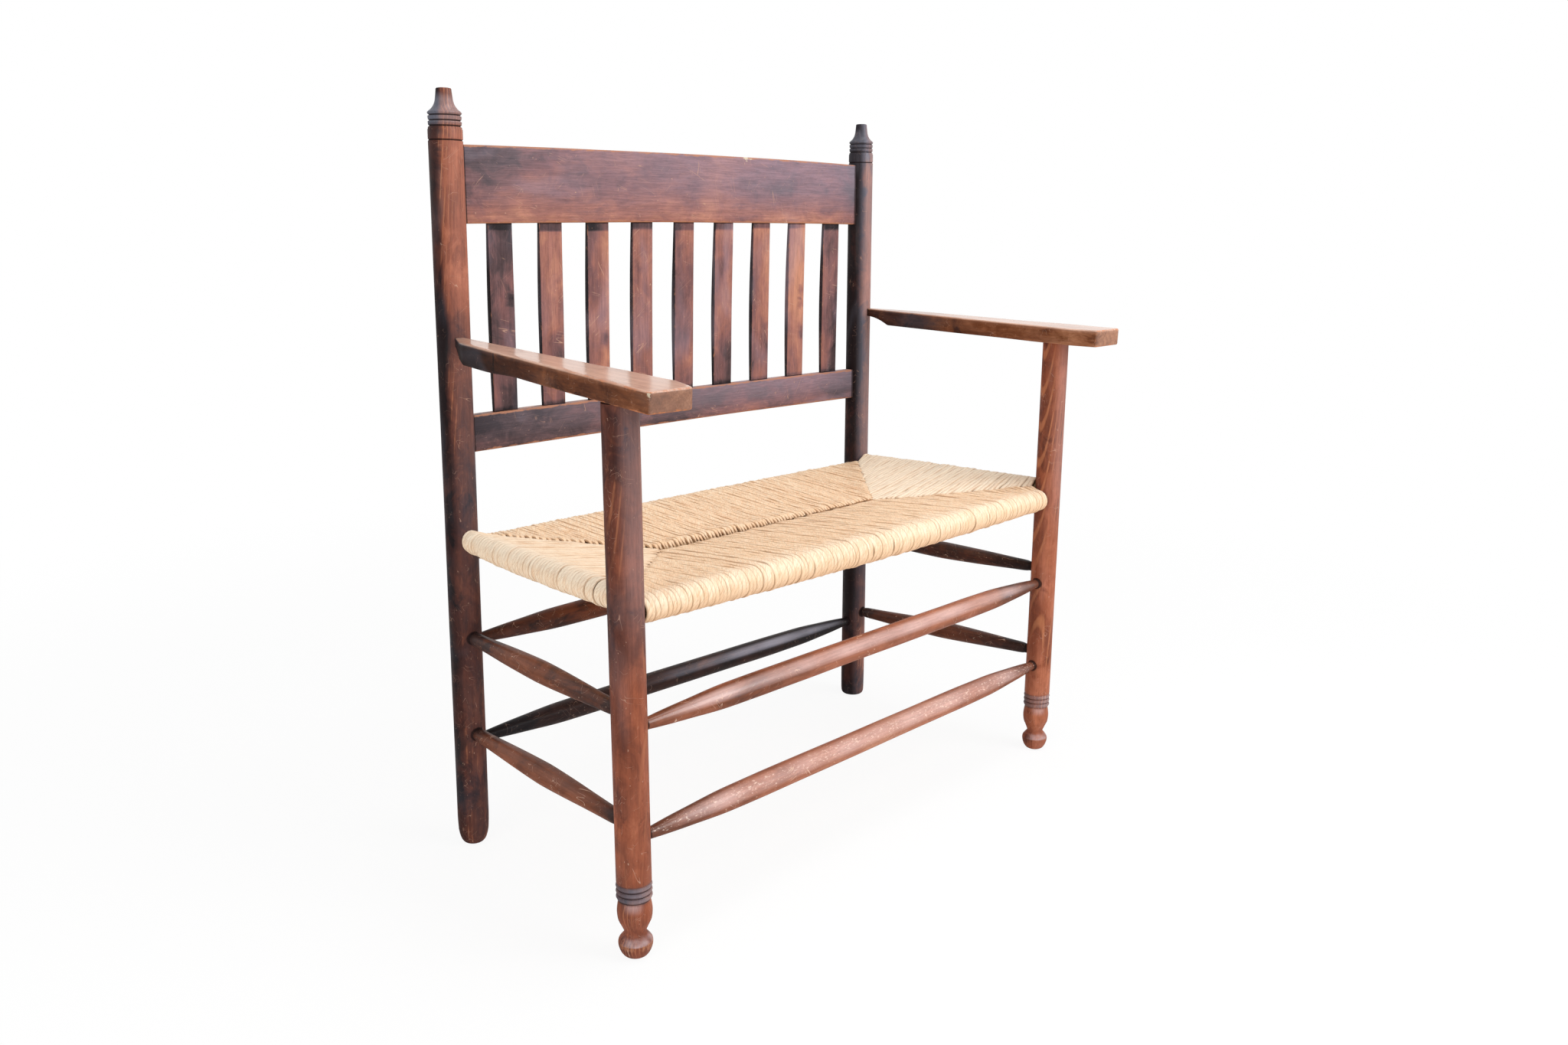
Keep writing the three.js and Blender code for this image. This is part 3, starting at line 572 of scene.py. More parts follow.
@dataclass(frozen=True)
class PlainRailWood:
    """The rough pale wood of the seat rails, under the rush."""

    name: str = "rough_rail_wood"
    pale: Colour = (0.46, 0.3, 0.16)
    dark: Colour = (0.24, 0.13, 0.065)
    pore: Colour = (0.05, 0.03, 0.02)

    def material(self, effects: Effects) -> Material:
        """Build the wood's material.

        Args:
            effects: The groups, for the grain.

        Returns:
            The material, which reads Object coordinates.
        """
        material, b, shader = blank_material(self.name)
        grain = b.group(effects.grain, {"Lay": b.add("TexCoord", {}, "Object"), "Figure Scale": 90.0})
        colour = b.blend(grain["Figure"], self.pale, self.dark)
        b.fill(shader, {"Base Color": b.blend(grain["Pores"] * 0.4, colour, self.pore),
                        "Roughness": 0.68 + grain["Fibre"] * 0.2,
                        "Normal": b.bump(grain["Height"], 0.3, 0.0008)})
        return material


@dataclass(frozen=True)
class TwistedRush:
    """Twisted and dried rush, straw-coloured, with tan and cream leaves."""

    name: str = "twisted_rush"
    cream: Colour = (1.0, 0.8, 0.585)
    # The bleached colour also serves the painted highlight on the roll.
    bleached_and_highlight: Colour = (1.0, 0.9, 0.74)
    straw: Colour = (0.95, 0.67, 0.43)
    tan: Colour = (0.82, 0.47, 0.25)
    brown: Colour = (0.44, 0.24, 0.12)
    shadow: Colour = (0.26, 0.14, 0.07)
    # Strength of the painted shade in the gaps between strands.
    gap_shade_strength: float = 0.78
    stroke_strength: float = 0.38
    bump: float = 0.35
    gloss: float = 0.3

    def material(self, effects: Effects) -> Material:
        """Build the rush's material.

        Args:
            effects: The groups, for the twisted leaves.

        Returns:
            The material, which reads each strand's lay and number, its painted shade by the seam and mitres,
            and its bleach with painted light.
        """
        material, b, shader = blank_material(self.name)
        lay, strand, bleach = b.attribute("lay", "Vector"), b.attribute("strand"), b.attribute("bleach")
        leaves = b.group(effects.fibres, {"Lay": lay, "Strand": strand})
        streak, patch = leaves["Streak"], leaves["Patch"]
        # Leaves, bleach and the painted highlight pale the straw towards cream.
        colour = b.blend((leaves["Leaf"] * 0.7 + bleach * 0.6).step(0.0, 1.0), self.straw, self.cream)
        # Tan patches, and tan as painted shade low on the roll.
        tan_and_shade = (bleach * -0.55).at_least(patch * strand.step(0.2, 0.95, 0.05, 0.5))
        colour = b.blend(tan_and_shade, colour, self.tan)
        # Painted shade: thin dark lines in the gaps between the strands.
        facing_out = b.parts(lay)[0]
        between = facing_out.step(0.6, 0.83, 1.0, 0.0) * patch.step(
            0.1, 0.75, self.gap_shade_strength * 0.6, self.gap_shade_strength)
        between = between * bleach.step(0.1, 0.6, 1.0, 0.85)
        # Pale streaks, and a painted highlight on top of the roll.
        bright = streak.step(0.3, 0.08) * bleach.step(-0.2, 0.8, 0.1, 0.6)
        colour = b.blend(bright.at_least(bleach.step(0.9, 1.4, 0.0, 0.5)), colour, self.bleached_and_highlight)
        strokes = streak.step(0.6, 0.86) * self.stroke_strength
        # Brown strokes in the leaves, and the painted shade between the strands.
        colour = b.blend(between.at_least(strokes), colour, self.brown)
        # Painted shade where the strands dive into the seam and the mitres.
        b.fill(shader, {"Base Color": b.blend(b.attribute("soil") * 0.9, colour, self.shadow),
                        "Roughness": 0.5 + streak * 0.25,
                        "Normal": b.bump(leaves["Height"], self.bump, 0.0008),
                        "Specular IOR Level": self.gloss})
        return material


@dataclass(frozen=True)
class LoosePacking:
    """The broken brown rush that pads the seat between its two faces."""

    name: str = "loose_packing"
    brown: Colour = (0.22, 0.125, 0.06)
    straw: Colour = (0.5, 0.32, 0.17)

    def material(self) -> Material:
        """Return the packing's material, which reads Object coordinates."""
        material, b, shader = blank_material(self.name)
        bits = b.add("TexCoord", {}, "Object").scaled(1.0, 0.2, 1.0).noise(420.0, 3.0)
        b.fill(shader, {"Base Color": b.blend(bits.step(0.35, 0.7), self.brown, self.straw),
                        "Roughness": bits.step(0.2, 0.8, 0.75, 0.95), "Normal": b.bump(bits, 0.5, 0.001)})
        return material


# Meshes


@dataclass
class Workpiece:
    """A wooden piece on the bench: a mesh along its own Z, and how its surface has aged.

    Attributes:
        name: The piece's name.
        shape: The mesh, in millimetres.
        tone: The stain's tone at a place of the piece, from 0, dark, to 1, worn and warm.
        wear: How far an edge is worn there, from 0 to 1.
        grime: How dark the dirt is there, with painted shade in the posts' grooves, from 0 to 1.
        bare: Where the finish is knocked off, from 0 to 1.
        bloom: Where the polish has gone grey, and where sheen and highlights are painted, from 0 to 1.
        polish: How much polish is left there, from 0 to 1.
    """

    name: str
    shape: Shape
    tone: Tone = field(default=lambda _: 0.5)
    wear: Tone = field(default=lambda _: 0.0)
    grime: Tone = field(default=lambda _: 0.0)
    bare: Tone = field(default=lambda _: 0.0)
    bloom: Tone = field(default=lambda _: 0.0)
    polish: Tone = field(default=lambda _: 0.0)

    def age(self) -> None:
        """Write the grain, the tone and the masks on the mesh, while it stands on its own axes."""
        verts = self.shape.verts
        grain = verts.layers.float_vector.new("grain")
        piece = verts.layers.float.new("piece")
        masks = [(verts.layers.float.new(label), getattr(self, label))
                 for label in ("tone", "wear", "grime", "bare", "bloom", "polish")]
        own_number = random.Random(self.name).random()
        for vert in verts:
            vert[grain] = vert.co * MM
            vert[piece] = own_number
            for layer, rule in masks:
                vert[layer] = rule(vert.co)


def face_out(shape: Shape) -> None:
    """Turn every face of a closed mesh outwards."""
    bmesh.ops.recalc_face_normals(shape, faces=shape.faces)


def put_in_scene(name: str, data: bpy.types.ID) -> bpy.types.Object:
    """Make an object of a mesh, a lamp or a camera, and put it in the scene."""
    piece = bpy.data.objects.new(name, data)
    bpy.context.scene.collection.objects.link(piece)
    return piece


def to_object(shape: Shape, name: str, place: Matrix) -> bpy.types.Object:
    """Bring a mesh to the frame and make it an object.

    Args:
        shape: The mesh, in millimetres on its own axes. It is freed.
        name: The object's name.
        place: Where the mesh goes in the settle.

    Returns:
        The object, which sits at the origin.
    """
    to_frame = Matrix.Scale(MM, 4) @ Matrix.Translation(-OUTLINE_CENTRE)
    bmesh.ops.transform(shape, matrix=to_frame @ place, verts=shape.verts)
    for face in shape.faces:
        face.smooth = True
    mesh = bpy.data.meshes.new(name)
    shape.to_mesh(mesh)
    shape.free()
    mesh.set_sharp_from_angle(angle=CREASE_ANGLE)
    return put_in_scene(name, mesh)


def dress(piece: bpy.types.Object, material: Material, slot: Slot, *nodes: str) -> None:
    """Give a piece its finish, its body and the solids that it stands for."""
    piece.data.materials.append(material)
    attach(piece, BODY)
    if nodes:
        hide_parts(*nodes)
    log.info("%s: %d faces, for %s", piece.name, len(piece.data.polygons), ", ".join(nodes) or "no node")


def turning(profile: Profile, sides: int) -> Shape:
    """Turn a profile of radius and height pairs about Z.

    Args:
        profile: The pairs, from the bottom up.
        sides: The number of facets round the turning.

    Returns:
        The closed mesh.
    """
    shape = bmesh.new()
    line = [shape.verts.new((radius, 0, height)) for radius, height in profile]
    edges = [shape.edges.new(pair) for pair in pairwise(line)]
    bmesh.ops.spin(shape, geom=[*line, *edges], cent=(0, 0, 0), axis=(0, 0, 1),
                   angle=math.tau, steps=sides, use_merge=True)
    bmesh.ops.remove_doubles(shape, verts=shape.verts, dist=SAME_PLACE)
    face_out(shape)
    return shape


def slice_at(shape: Shape, places: Iterable[float], axis: Vector) -> None:
    """Cut new edges round a mesh where planes across an axis meet it."""
    for place in places:
        bmesh.ops.bisect_plane(shape, geom=[*shape.verts, *shape.edges, *shape.faces], dist=SAME_PLACE,
                               plane_co=axis * place, plane_no=axis)


def hand_shape(shape: Shape, seed: float, depth: float, grain: float) -> None:
    """Move the surface in and out a little, as hand work and shrinkage leave it.

    Args:
        shape: The mesh, in millimetres on its own axes.
        seed: A number of the piece's own.
        depth: How far the surface moves, in millimetres.
        grain: The length of the waves across the piece, in millimetres.
    """
    shape.normal_update()
    moved = []
    for vert in shape.verts:
        spot = Vector((vert.co.x, vert.co.y, vert.co.z / 3)) / grain + Vector((seed, 0, seed))
        moved.append((vert, vert.co + vert.normal * depth * noise.noise(spot)))
    for vert, spot in moved:
        vert.co = spot


def worn_edges(half_width: float, half_depth: float, length: float, reach: float) -> Tone:
    """Return the rule for wear along the edges of a board that runs from 0 to its length along Z."""
    def rule(spot: Vector) -> float:
        """Return the wear at a place on the board."""
        gaps = sorted((half_width - abs(spot.x), half_depth - abs(spot.y), spot.z, length - spot.z))
        return min(max(1 - gaps[1] / reach, 0.0), 1.0)
    return rule


@dataclass(frozen=True)
class Board:
    """A sawn board along Z, with rounded edges and enough stations to bend."""

    width: float
    depth: float
    length: float
    rounding: float
    station_step: float
    extra_stations: tuple[float, ...] = ()

    def shape(self) -> Shape:
        """Return the board's mesh, centred across and from 0 to its length along Z."""
        shape = bmesh.new()
        bmesh.ops.create_cube(shape, size=1.0)
        bmesh.ops.scale(shape, vec=(self.width, self.depth, self.length), verts=shape.verts)
        bmesh.ops.translate(shape, vec=(0, 0, self.length / 2), verts=shape.verts)
        bmesh.ops.bevel(shape, geom=list(shape.edges), offset=self.rounding, segments=3, profile=0.5,
                        affect="EDGES", material=-1)
        inner = self.width / 2 - self.rounding
        slice_at(shape, [inner - 2.5, -inner + 2.5, inner - 7, -inner + 7, 0], ACROSS)
        slice_at(shape, stations(0, self.length, self.station_step)[1:-1], UP)
        slice_at(shape, self.extra_stations, UP)
        return shape


# The posts


@dataclass(frozen=True)
class Joint:
    """A hole in a post for a rail or stretcher."""

    height: float
    towards: Vector
    radius: float


@dataclass(frozen=True)
class PostPlan:
    """One post's line, how it has aged, and the shade and sheen painted on its sides. Only a front post has a
    length of its own.
    """

    name: str
    line: PostLine
    slimness: tuple[float, float]
    painted_outer_shade: tuple[float, float]
    painted_shade_edge: tuple[float, float]
    inner_painted_sheen: float
    tones: Stops
    front_length: float | None = None
    finial_bloom: float = 0.0

    @property
    def is_front(self) -> bool:
        """Tell whether the post is at the front."""
        return self.front_length is not None


@dataclass
class PostSet:
    """The four turned posts."""

    finial_height: float = 60.0
    front_foot_height: float = 94.0
    rear_foot_height: float = 40.0
    sides: int = 56
    station_step: float = 9.0
    disc_share: float = 0.97
    closest: float = 1.0
    foot: Stops = (
        (0.0, 0.0), (0.42, 0.0), (0.56, 0.006), (0.72, 0.03), (0.87, 0.08), (0.965, 0.14), (0.99, 0.186),
        (0.96, 0.222), (0.86, 0.255), (0.74, 0.284), (0.635, 0.31), (0.625, 0.33), (0.68, 0.365),
        (0.8, 0.425), (0.95, 0.5), (1.005, 0.6), (0.975, 0.68), (0.92, 0.745))
    flat_foot: Stops = (
        (0.0, 0.0), (0.5, 0.0), (0.76, 0.01), (0.87, 0.04), (0.94, 0.1), (0.975, 0.22), (0.99, 0.5),
        (1.0, 1.0))
    domed_foot: Stops = (
        (0.0, 0.0), (0.3, 0.0), (0.46, 0.01), (0.6, 0.04), (0.72, 0.1), (0.84, 0.22), (0.96, 0.5),
        (1.0, 1.0))
    finial: Stops = (
        (0.975, 0.512), (0.98, 0.526), (0.92, 0.552), (0.8, 0.585), (0.685, 0.63), (0.59, 0.685),
        (0.525, 0.755), (0.485, 0.85), (0.455, 0.94))
    plans: tuple[PostPlan, ...] = (
        PostPlan("front_left", SKELETON.front_left, (1.0, 1.0), (0.06, 0.06), (-0.05, 0.4), 0.17,
                 ((0, 0.76), (170, 0.74), (330, 0.66), (430, 0.54), (650, 0.48)), 641.0),
        PostPlan("front_right", SKELETON.front_right, (0.96, 0.93), (0.14, 0.1), (0.1, 0.5), 0.16,
                 ((0, 0.76), (170, 0.76), (330, 0.79), (480, 0.84), (650, 0.82)), 652.0),
        PostPlan("rear_left", SKELETON.rear_left, (1.0, 1.01), (0.18, 0.58), (-0.05, 0.5), 0.08,
                 ((0, 0.29), (120, 0.23), (420, 0.3), (560, 0.3), (690, 0.38), (745, 0.82), (900, 0.84),
                  (924, 0.7), (932, 0.5), (960, 0.42)), finial_bloom=0.28),
        PostPlan("rear_right", SKELETON.rear_right, (0.98, 0.95), (0.3, 0.72), (-0.7, 0.3), 0.3,
                 ((0, 0.36), (300, 0.33), (450, 0.37), (560, 0.46), (720, 0.62), (880, 0.7), (930, 0.42),
                  (960, 0.42)), finial_bloom=0.16))

    def collar(self) -> Profile:
        """Return the three worn rings above a front foot, as shares."""
        rings = [(radius, start + share * 0.07) for start in (0.775, 0.848, 0.92)
                 for share, radius in ((0.0, 0.92), (0.16, 0.985), (0.5, 1.03), (0.84, 1.0))]
        return [*rings, (0.965, 0.994), (1.0, 1.006)]

    def front_profile(self, length: float, joints: Sequence[Joint]) -> Profile:
        """Return a front post's profile from the floor up."""
        radius, height = SKELETON.post_radius, self.front_foot_height
        turned = [(share * radius, along * height)
                  for share, along in [*flowing(self.foot, 4), *self.collar()]]
        return [*turned, *self._shaft(height + 3, length, joints), (0.0, length)]

    def rear_profile(self, length: float, joints: Sequence[Joint], domed: float) -> Profile:
        """Return a rear post's profile from the floor up, its foot domed by a share."""
        radius, start = SKELETON.post_radius, length - self.finial_height
        foot = [(mix(flat, round_, domed) * radius, along * self.rear_foot_height)
                for (flat, along), (round_, _) in zip(flowing(self.flat_foot, 2),
                                                      flowing(self.domed_foot, 2))]
        shaft = self._shaft(self.rear_foot_height + 6, start - 1.2, joints)
        scored = [(radius - 0.9, start - 0.45), (radius - 0.9, start + 0.45), (radius, start + 1.2)]
        disc = self.disc_share * radius
        rings: Profile = [(radius, start + 0.2 * self.finial_height), (disc, start + 13.2)]
        for share in (0.27, 0.375, 0.478):
            middle = start + share * self.finial_height
            rings += [(disc, middle - 1.8), (disc - 0.5, middle - 1.0), (disc - 1.6, middle - 0.5),
                      (disc - 1.7, middle), (disc - 1.6, middle + 0.4), (disc - 0.5, middle + 0.9)]
        top = [(share * radius, start + along * self.finial_height) for share, along in [
            *flowing(self.finial, 4), (0.445, 0.978), (0.4, 0.994), (0.3, 1.0), (0.0, 1.0)]]
        return [*foot, *shaft, *scored, *rings, *top]

    def _shaft(self, start: float, end: float, joints: Sequence[Joint]) -> Profile:
        """Return a plain shaft's stations, closer together round its joints."""
        heights = set(stations(start, end, self.station_step))
        for joint in joints:
            heights.update(joint.height + 1.7 * i for i in range(-8, 9))
        kept = [start]
        for height in sorted(heights):
            if kept[-1] + self.closest < height < end - self.closest:
                kept.append(height)
        return [(SKELETON.post_radius, height) for height in [*kept, end]]

    def grime_rule(self, place: Matrix, joints: Sequence[Joint], line: PostLine) -> Tone:
        """Return the rule for the dark ring round each joint."""
        def rule(spot: Vector) -> float:
            """Return the grime at a place of the post."""
            here = place @ spot
            most = 0.0
            for joint in joints:
                centre = line.at(joint.height)
                gap = here - centre
                if gap.dot(joint.towards) > 0:
                    off_axis = (gap - joint.towards * gap.dot(joint.towards)).length - joint.radius
                    most = max(most, 1 - max(off_axis, 0.0) / 4.5)
            return min(max(most, 0.0), 1.0)
        return rule

    def build(self, material: Material, joints: dict[PostLine, list[Joint]]) -> None:
        """Make and dress the posts.

        Args:
            material: The posts' finish.
            joints: The joints of each post, by the post's line.
        """
        for plan in self.plans:
            line, holes = plan.line, joints[plan.line]
            place = stood(line.at(0), line.at(SKELETON.rear_height))
            if plan.is_front:
                length = plan.front_length
                profile = self.front_profile(length, holes)
            else:
                length = (line.at(SKELETON.rear_height) - line.at(0)).length
                profile = self.rear_profile(length, holes, 1.0 if line.side is Side.LEFT else 0.0)
            shape = turning(profile, self.sides)
            for vert in shape.verts:
                slim = mix(*plan.slimness, vert.co.z / length)
                vert.co.x *= slim
                vert.co.y *= slim
            hand_shape(shape, random.Random(plan.name).uniform(0, 40), 0.35, 55)
            bloom = self._bloom(plan, length)
            piece = Workpiece(f"post_{plan.name}", shape, self._tone(plan), self._wear(plan, length),
                              self._grime(plan, length, self.grime_rule(place, holes, line)),
                              self._bare(plan), bloom, lambda spot: 0.9 * bloom(spot))
            piece.age()
            post, end = plan.name.split("_")
            dress(to_object(shape, piece.name, place), material, Slot.POST, f"{post}_post_{end}")

    def _tone(self, plan: PostPlan) -> Tone:
        """Return the rule for the stain's tone up a post, with painted shade on the side turned from the
        light.
        """

        def rule(spot: Vector) -> float:
            """Return the tone at a place of the post."""
            tone = along_stops(spot.z, plan.tones)
            if plan.is_front:
                share = spot.z / self.front_foot_height
                tone -= 0.42 * ease(share, 0.74, 0.78) * (1 - ease(share, 0.98, 1.01))
            wander = 0.16 * noise.noise(Vector((len(plan.name), 0, spot.z / 80)))
            # Painted shade: the side turned from the light is darkened, by amounts set low and high on the
            # post.
            outward = (spot.y - spot.x) / (math.sqrt(2) * SKELETON.post_radius)
            shade = mix(*plan.painted_outer_shade, ease(spot.z, 480, 640))
            return tone - shade * ease(outward + wander, *plan.painted_shade_edge)
        return rule

    def _grime(self, plan: PostPlan, length: float, at_joints: Tone) -> Tone:
        """Return the rule for the dirt round a post's joints, and the dirt and painted shade in its turned
        grooves.
        """
        radius = SKELETON.post_radius * self.disc_share
        scored = length - self.finial_height

        def rule(spot: Vector) -> float:
            """Return the dirt, with painted shade in a groove, at a place of the post."""
            out = math.hypot(spot.x, spot.y) / plan.slimness[1]
            groove_dirt_and_shade = 0.0
            if plan.is_front:
                if self.front_foot_height * 0.76 < spot.z < self.front_foot_height:
                    groove_dirt_and_shade = 0.8 * (1 - ease(out, radius - 0.9, radius + 0.1))
            elif scored + 10 < spot.z < scored + 31:
                groove_dirt_and_shade = 1 - ease(out, radius - 1.5, radius - 0.5)
            elif abs(spot.z - scored) < 0.6:
                groove_dirt_and_shade = 1.0
            return max(groove_dirt_and_shade, at_joints(spot))
        return rule

    def _wear(self, plan: PostPlan, length: float) -> Tone:
        """Return the rule for wear on a post's turned edges."""
        radius = SKELETON.post_radius

        def rule(spot: Vector) -> float:
            """Return the wear at a place of the post."""
            out = math.hypot(spot.x, spot.y)
            if not plan.is_front and spot.z > length - self.finial_height + 8:
                return 0.12 * ease(out, radius - 1.6, radius - 0.5)
            if plan.is_front and spot.z < self.front_foot_height * 0.3:
                return 0.5 * ease(out, radius * 0.9, radius)
            return 0.0
        return rule

    def _bloom(self, plan: PostPlan, length: float) -> Tone:
        """Return the rule for the painted sheen and highlights on a post, and the grey polish bloom on its
        finial.
        """
        def rule(spot: Vector) -> float:
            """Return how much painted sheen and grey bloom lie at a place of the post."""
            # Painted highlight down the side that faces the light, weaker low down.
            inward = (spot.x - spot.y) / (math.sqrt(2) * SKELETON.post_radius)
            lit = (plan.inner_painted_sheen * ease(inward, -0.35, 0.5)
                   * mix(0.0 if plan.is_front else 0.4, 1.0, ease(spot.z, 330, 470)))
            if plan.is_front:
                share = spot.z / self.front_foot_height
                out = math.hypot(spot.x, spot.y) / SKELETON.post_radius / plan.slimness[0]
                # Painted highlight on the collar's rings, strongest on their crests and on the lit side.
                collar = ease(share, 0.74, 0.78) * (1 - ease(share, 0.985, 1.01))
                collar *= (0.1 + 0.22 * ease(out, 0.95, 1.02)) * (0.5 + 0.6 * ease(inward, -0.8, 0.5))
                # Painted sheen on the top of the vase.
                vase_sheen = ease(share, 0.62, 0.74) * (1 - ease(share, 0.74, 0.76))
                vase_sheen *= 1 - ease(abs(inward), 0.1, 0.7)
                # Painted highlight on the bun's shoulder.
                shoulder_highlight = ease(share, 0.197, 0.206) * (1 - ease(share, 0.255, 0.31))
                shoulder_highlight *= (0.45 + 0.5 * noise.noise(spot / 7)) * ease(inward, -0.95, -0.3)
                return max(collar, 0.42 * vase_sheen, 0.8 * shoulder_highlight, lit)
            finial = ease(spot.z, length - 46, length - 38) * (1 - ease(spot.z, length - 16, length - 2))
            return max(plan.finial_bloom * finial, lit)
        return rule

    def _bare(self, plan: PostPlan) -> Tone:
        """Return the rule for the knocks on a post."""
        def rule(spot: Vector) -> float:
            """Return how bare the wood is at a place of the post."""
            if plan.name != "rear_right":
                return 0.0
            near = math.hypot(spot.x - 15, spot.y + 14, (spot.z - 690) / 2)
            return 0.55 * (1 - ease(near, 2, 8))
        return rule


# The stretchers


@dataclass(frozen=True)
class Swelling:
    """How a stretcher swells from its tips to its belly."""

    tip_radius: float
    belly_radius: float
    taper_length: float | None
    shares: Stops


@dataclass(frozen=True)
class StretcherPlan:
    """Where one stretcher runs, its tone, and the highlight painted on its lit side."""

    name: str
    start: PostLine
    end: PostLine
    start_height: float
    end_height: float
    swelling: Swelling
    tone: float
    painted_highlight: float
    polish: float
    highlight_band: float = 0.5
    flecks: float = 0.0

    def ends(self) -> tuple[Vector, Vector]:
        """Return the two points of the posts' axes that the stretcher runs between."""
        return self.start.at(self.start_height), self.end.at(self.end_height)


LONG = Swelling(6.6, 15.4, 190.0, (
    (0, 0), (0.11, 0.22), (0.22, 0.4), (0.35, 0.57), (0.6, 0.88), (0.85, 0.97), (1, 1)))
SHORT = Swelling(7.3, 13.9, None, (
    (0, 0), (0.05, 0.2), (0.2, 0.33), (0.37, 0.5), (0.55, 0.69), (0.72, 0.84), (0.88, 0.95), (1, 1)))
FRONT_RUN = (SKELETON.front_left, SKELETON.front_right)
REAR_RUN = (SKELETON.rear_left, SKELETON.rear_right)
LEFT_RUN = (SKELETON.front_left, SKELETON.rear_left)
RIGHT_RUN = (SKELETON.front_right, SKELETON.rear_right)


@dataclass
class StretcherSet:
    """The eight turned stretchers, two between each pair of posts."""

    tip_run: float = 3.0
    seating: float = 10.0
    sides: int = 40
    plans: tuple[StretcherPlan, ...] = (
        StretcherPlan("front_upper", *FRONT_RUN, 276.5, 277.5, LONG, 0.61, 0.55, 0.9, 0.74),
        StretcherPlan("front_lower", *FRONT_RUN, 143, 143, LONG, 0.66, 0.5, 0.5, 0.56, 0.3),
        StretcherPlan("rear_upper", *REAR_RUN, 282.5, 283.5, LONG, 0.44, 0.2, 0.7, 0.7),
        StretcherPlan("rear_lower", *REAR_RUN, 144.5, 136.5, LONG, 0.05, 0.9, 0.8, 0.84),
        StretcherPlan("left_upper", *LEFT_RUN, 294, 291.5, SHORT, 0.38, 0.03, 0.25),
        StretcherPlan("left_lower", *LEFT_RUN, 160.5, 160, SHORT, 0.4, 0.05, 0.25),
        StretcherPlan("right_upper", *RIGHT_RUN, 298, 291, SHORT, 0.26, 0.03, 0.3),
        StretcherPlan("right_lower", *RIGHT_RUN, 162.5, 153.5, SHORT, 0.34, 0.03, 0.3))

    def profile(self, plan: StretcherPlan, length: float) -> Profile:
        """Return a stretcher's profile, from inside one post to inside the other."""
        radius = SKELETON.post_radius
        form = plan.swelling
        tip_end = radius + self.tip_run
        taper = form.taper_length or length / 2 - tip_end
        rising = [(mix(form.tip_radius, form.belly_radius, swell), tip_end + along * taper)
                  for along, swell in flowing(form.shares, 4)]
        rising = [*((form.tip_radius, radius - gap) for gap in (self.seating, 3, 0)), *rising]
        middle = [(form.belly_radius, along) for along in
                  stations(rising[-1][1], length - rising[-1][1], 14)[1:-1]] if form.taper_length else []
        falling = [(r, length - z) for r, z in reversed(rising)]
        if not form.taper_length:
            falling = falling[1:]
        line = [*rising, *middle, *falling]
        return [(0.0, line[0][1]), *line, (0.0, line[-1][1])]

    def joints(self) -> dict[PostLine, list[Joint]]:
        """Return the holes that the stretchers need in each post."""
        found: dict[PostLine, list[Joint]] = defaultdict(list)
        for plan in self.plans:
            start, end = plan.ends()
            along = (end - start).normalized()
            found[plan.start].append(Joint(plan.start_height, along, plan.swelling.tip_radius))
            found[plan.end].append(Joint(plan.end_height, -along, plan.swelling.tip_radius))
        return found

    def build_stretcher(self, plan: StretcherPlan, material: Material) -> None:
        """Make and dress one stretcher."""
        start, end = plan.ends()
        length = (end - start).length
        place = stood(start, end)
        across = plan.name.startswith(("front", "rear"))
        lit_from = Vector((0, -0.78, 0.62)) if across else Vector((-0.5, 0, 0.86))
        shape = turning(self.profile(plan, length), self.sides)
        hand_shape(shape, random.Random(plan.name).uniform(0, 40), 0.4, 32)

        def upper(spot: Vector) -> float:
            """Return how far a place of the stretcher faces the light, mostly up and to the front, from 0 to
            1.
            """
            facing = place.to_3x3() @ Vector((spot.x, spot.y, 0)).normalized()
            # A rear stretcher's painted highlight, flecks and polish grow towards its right end.
            along = ease(spot.z / length, 0.3, 0.75) if plan.name.startswith("rear") else 1.0
            return along * ease(facing.dot(lit_from), plan.highlight_band, 1.0)

        def tone(spot: Vector) -> float:
            """Return the tone at a place of the stretcher: darker towards its ends."""
            share = math.sin(math.pi * spot.z / length)
            return plan.tone + 0.18 * share - 0.09 - 0.12 * (1 - ease(share, 0.1, 0.6))

        def grime(spot: Vector) -> float:
            """Return the grime at a place of the stretcher: round its ends."""
            return 1 - ease(min(spot.z, length - spot.z) - SKELETON.post_radius, 0.5, 5.5)

        def bloom(spot: Vector) -> float:
            """Return the painted highlight at a place of the stretcher: on its lit side, most on its middle.
            """
            uneven = 0.85 + 0.8 * noise.noise(spot / 60)
            return plan.painted_highlight * upper(spot) * uneven * ease(min(spot.z, length - spot.z), 20, 130)

        piece = Workpiece(f"turned_stretcher_{plan.name}", shape, tone, grime=grime, bloom=bloom,
                          bare=lambda spot: plan.flecks * (0.2 + 0.8 * upper(spot)),
                          polish=lambda spot: plan.polish * (0.08 + 0.92 * upper(spot)))
        piece.age()
        dress(to_object(shape, piece.name, place), material, Slot.STRETCHER, f"stretcher_{plan.name}")

    def build(self, material: Material) -> None:
        """Make and dress the stretchers."""
        for plan in self.plans:
            self.build_stretcher(plan, material)


# The back


@dataclass(frozen=True)
class BackRail:
    """One of the two bowed rails of the back."""

    name: str
    node: str
    bottom: float
    top: float
    bow: float
    arch: float
    tone: float


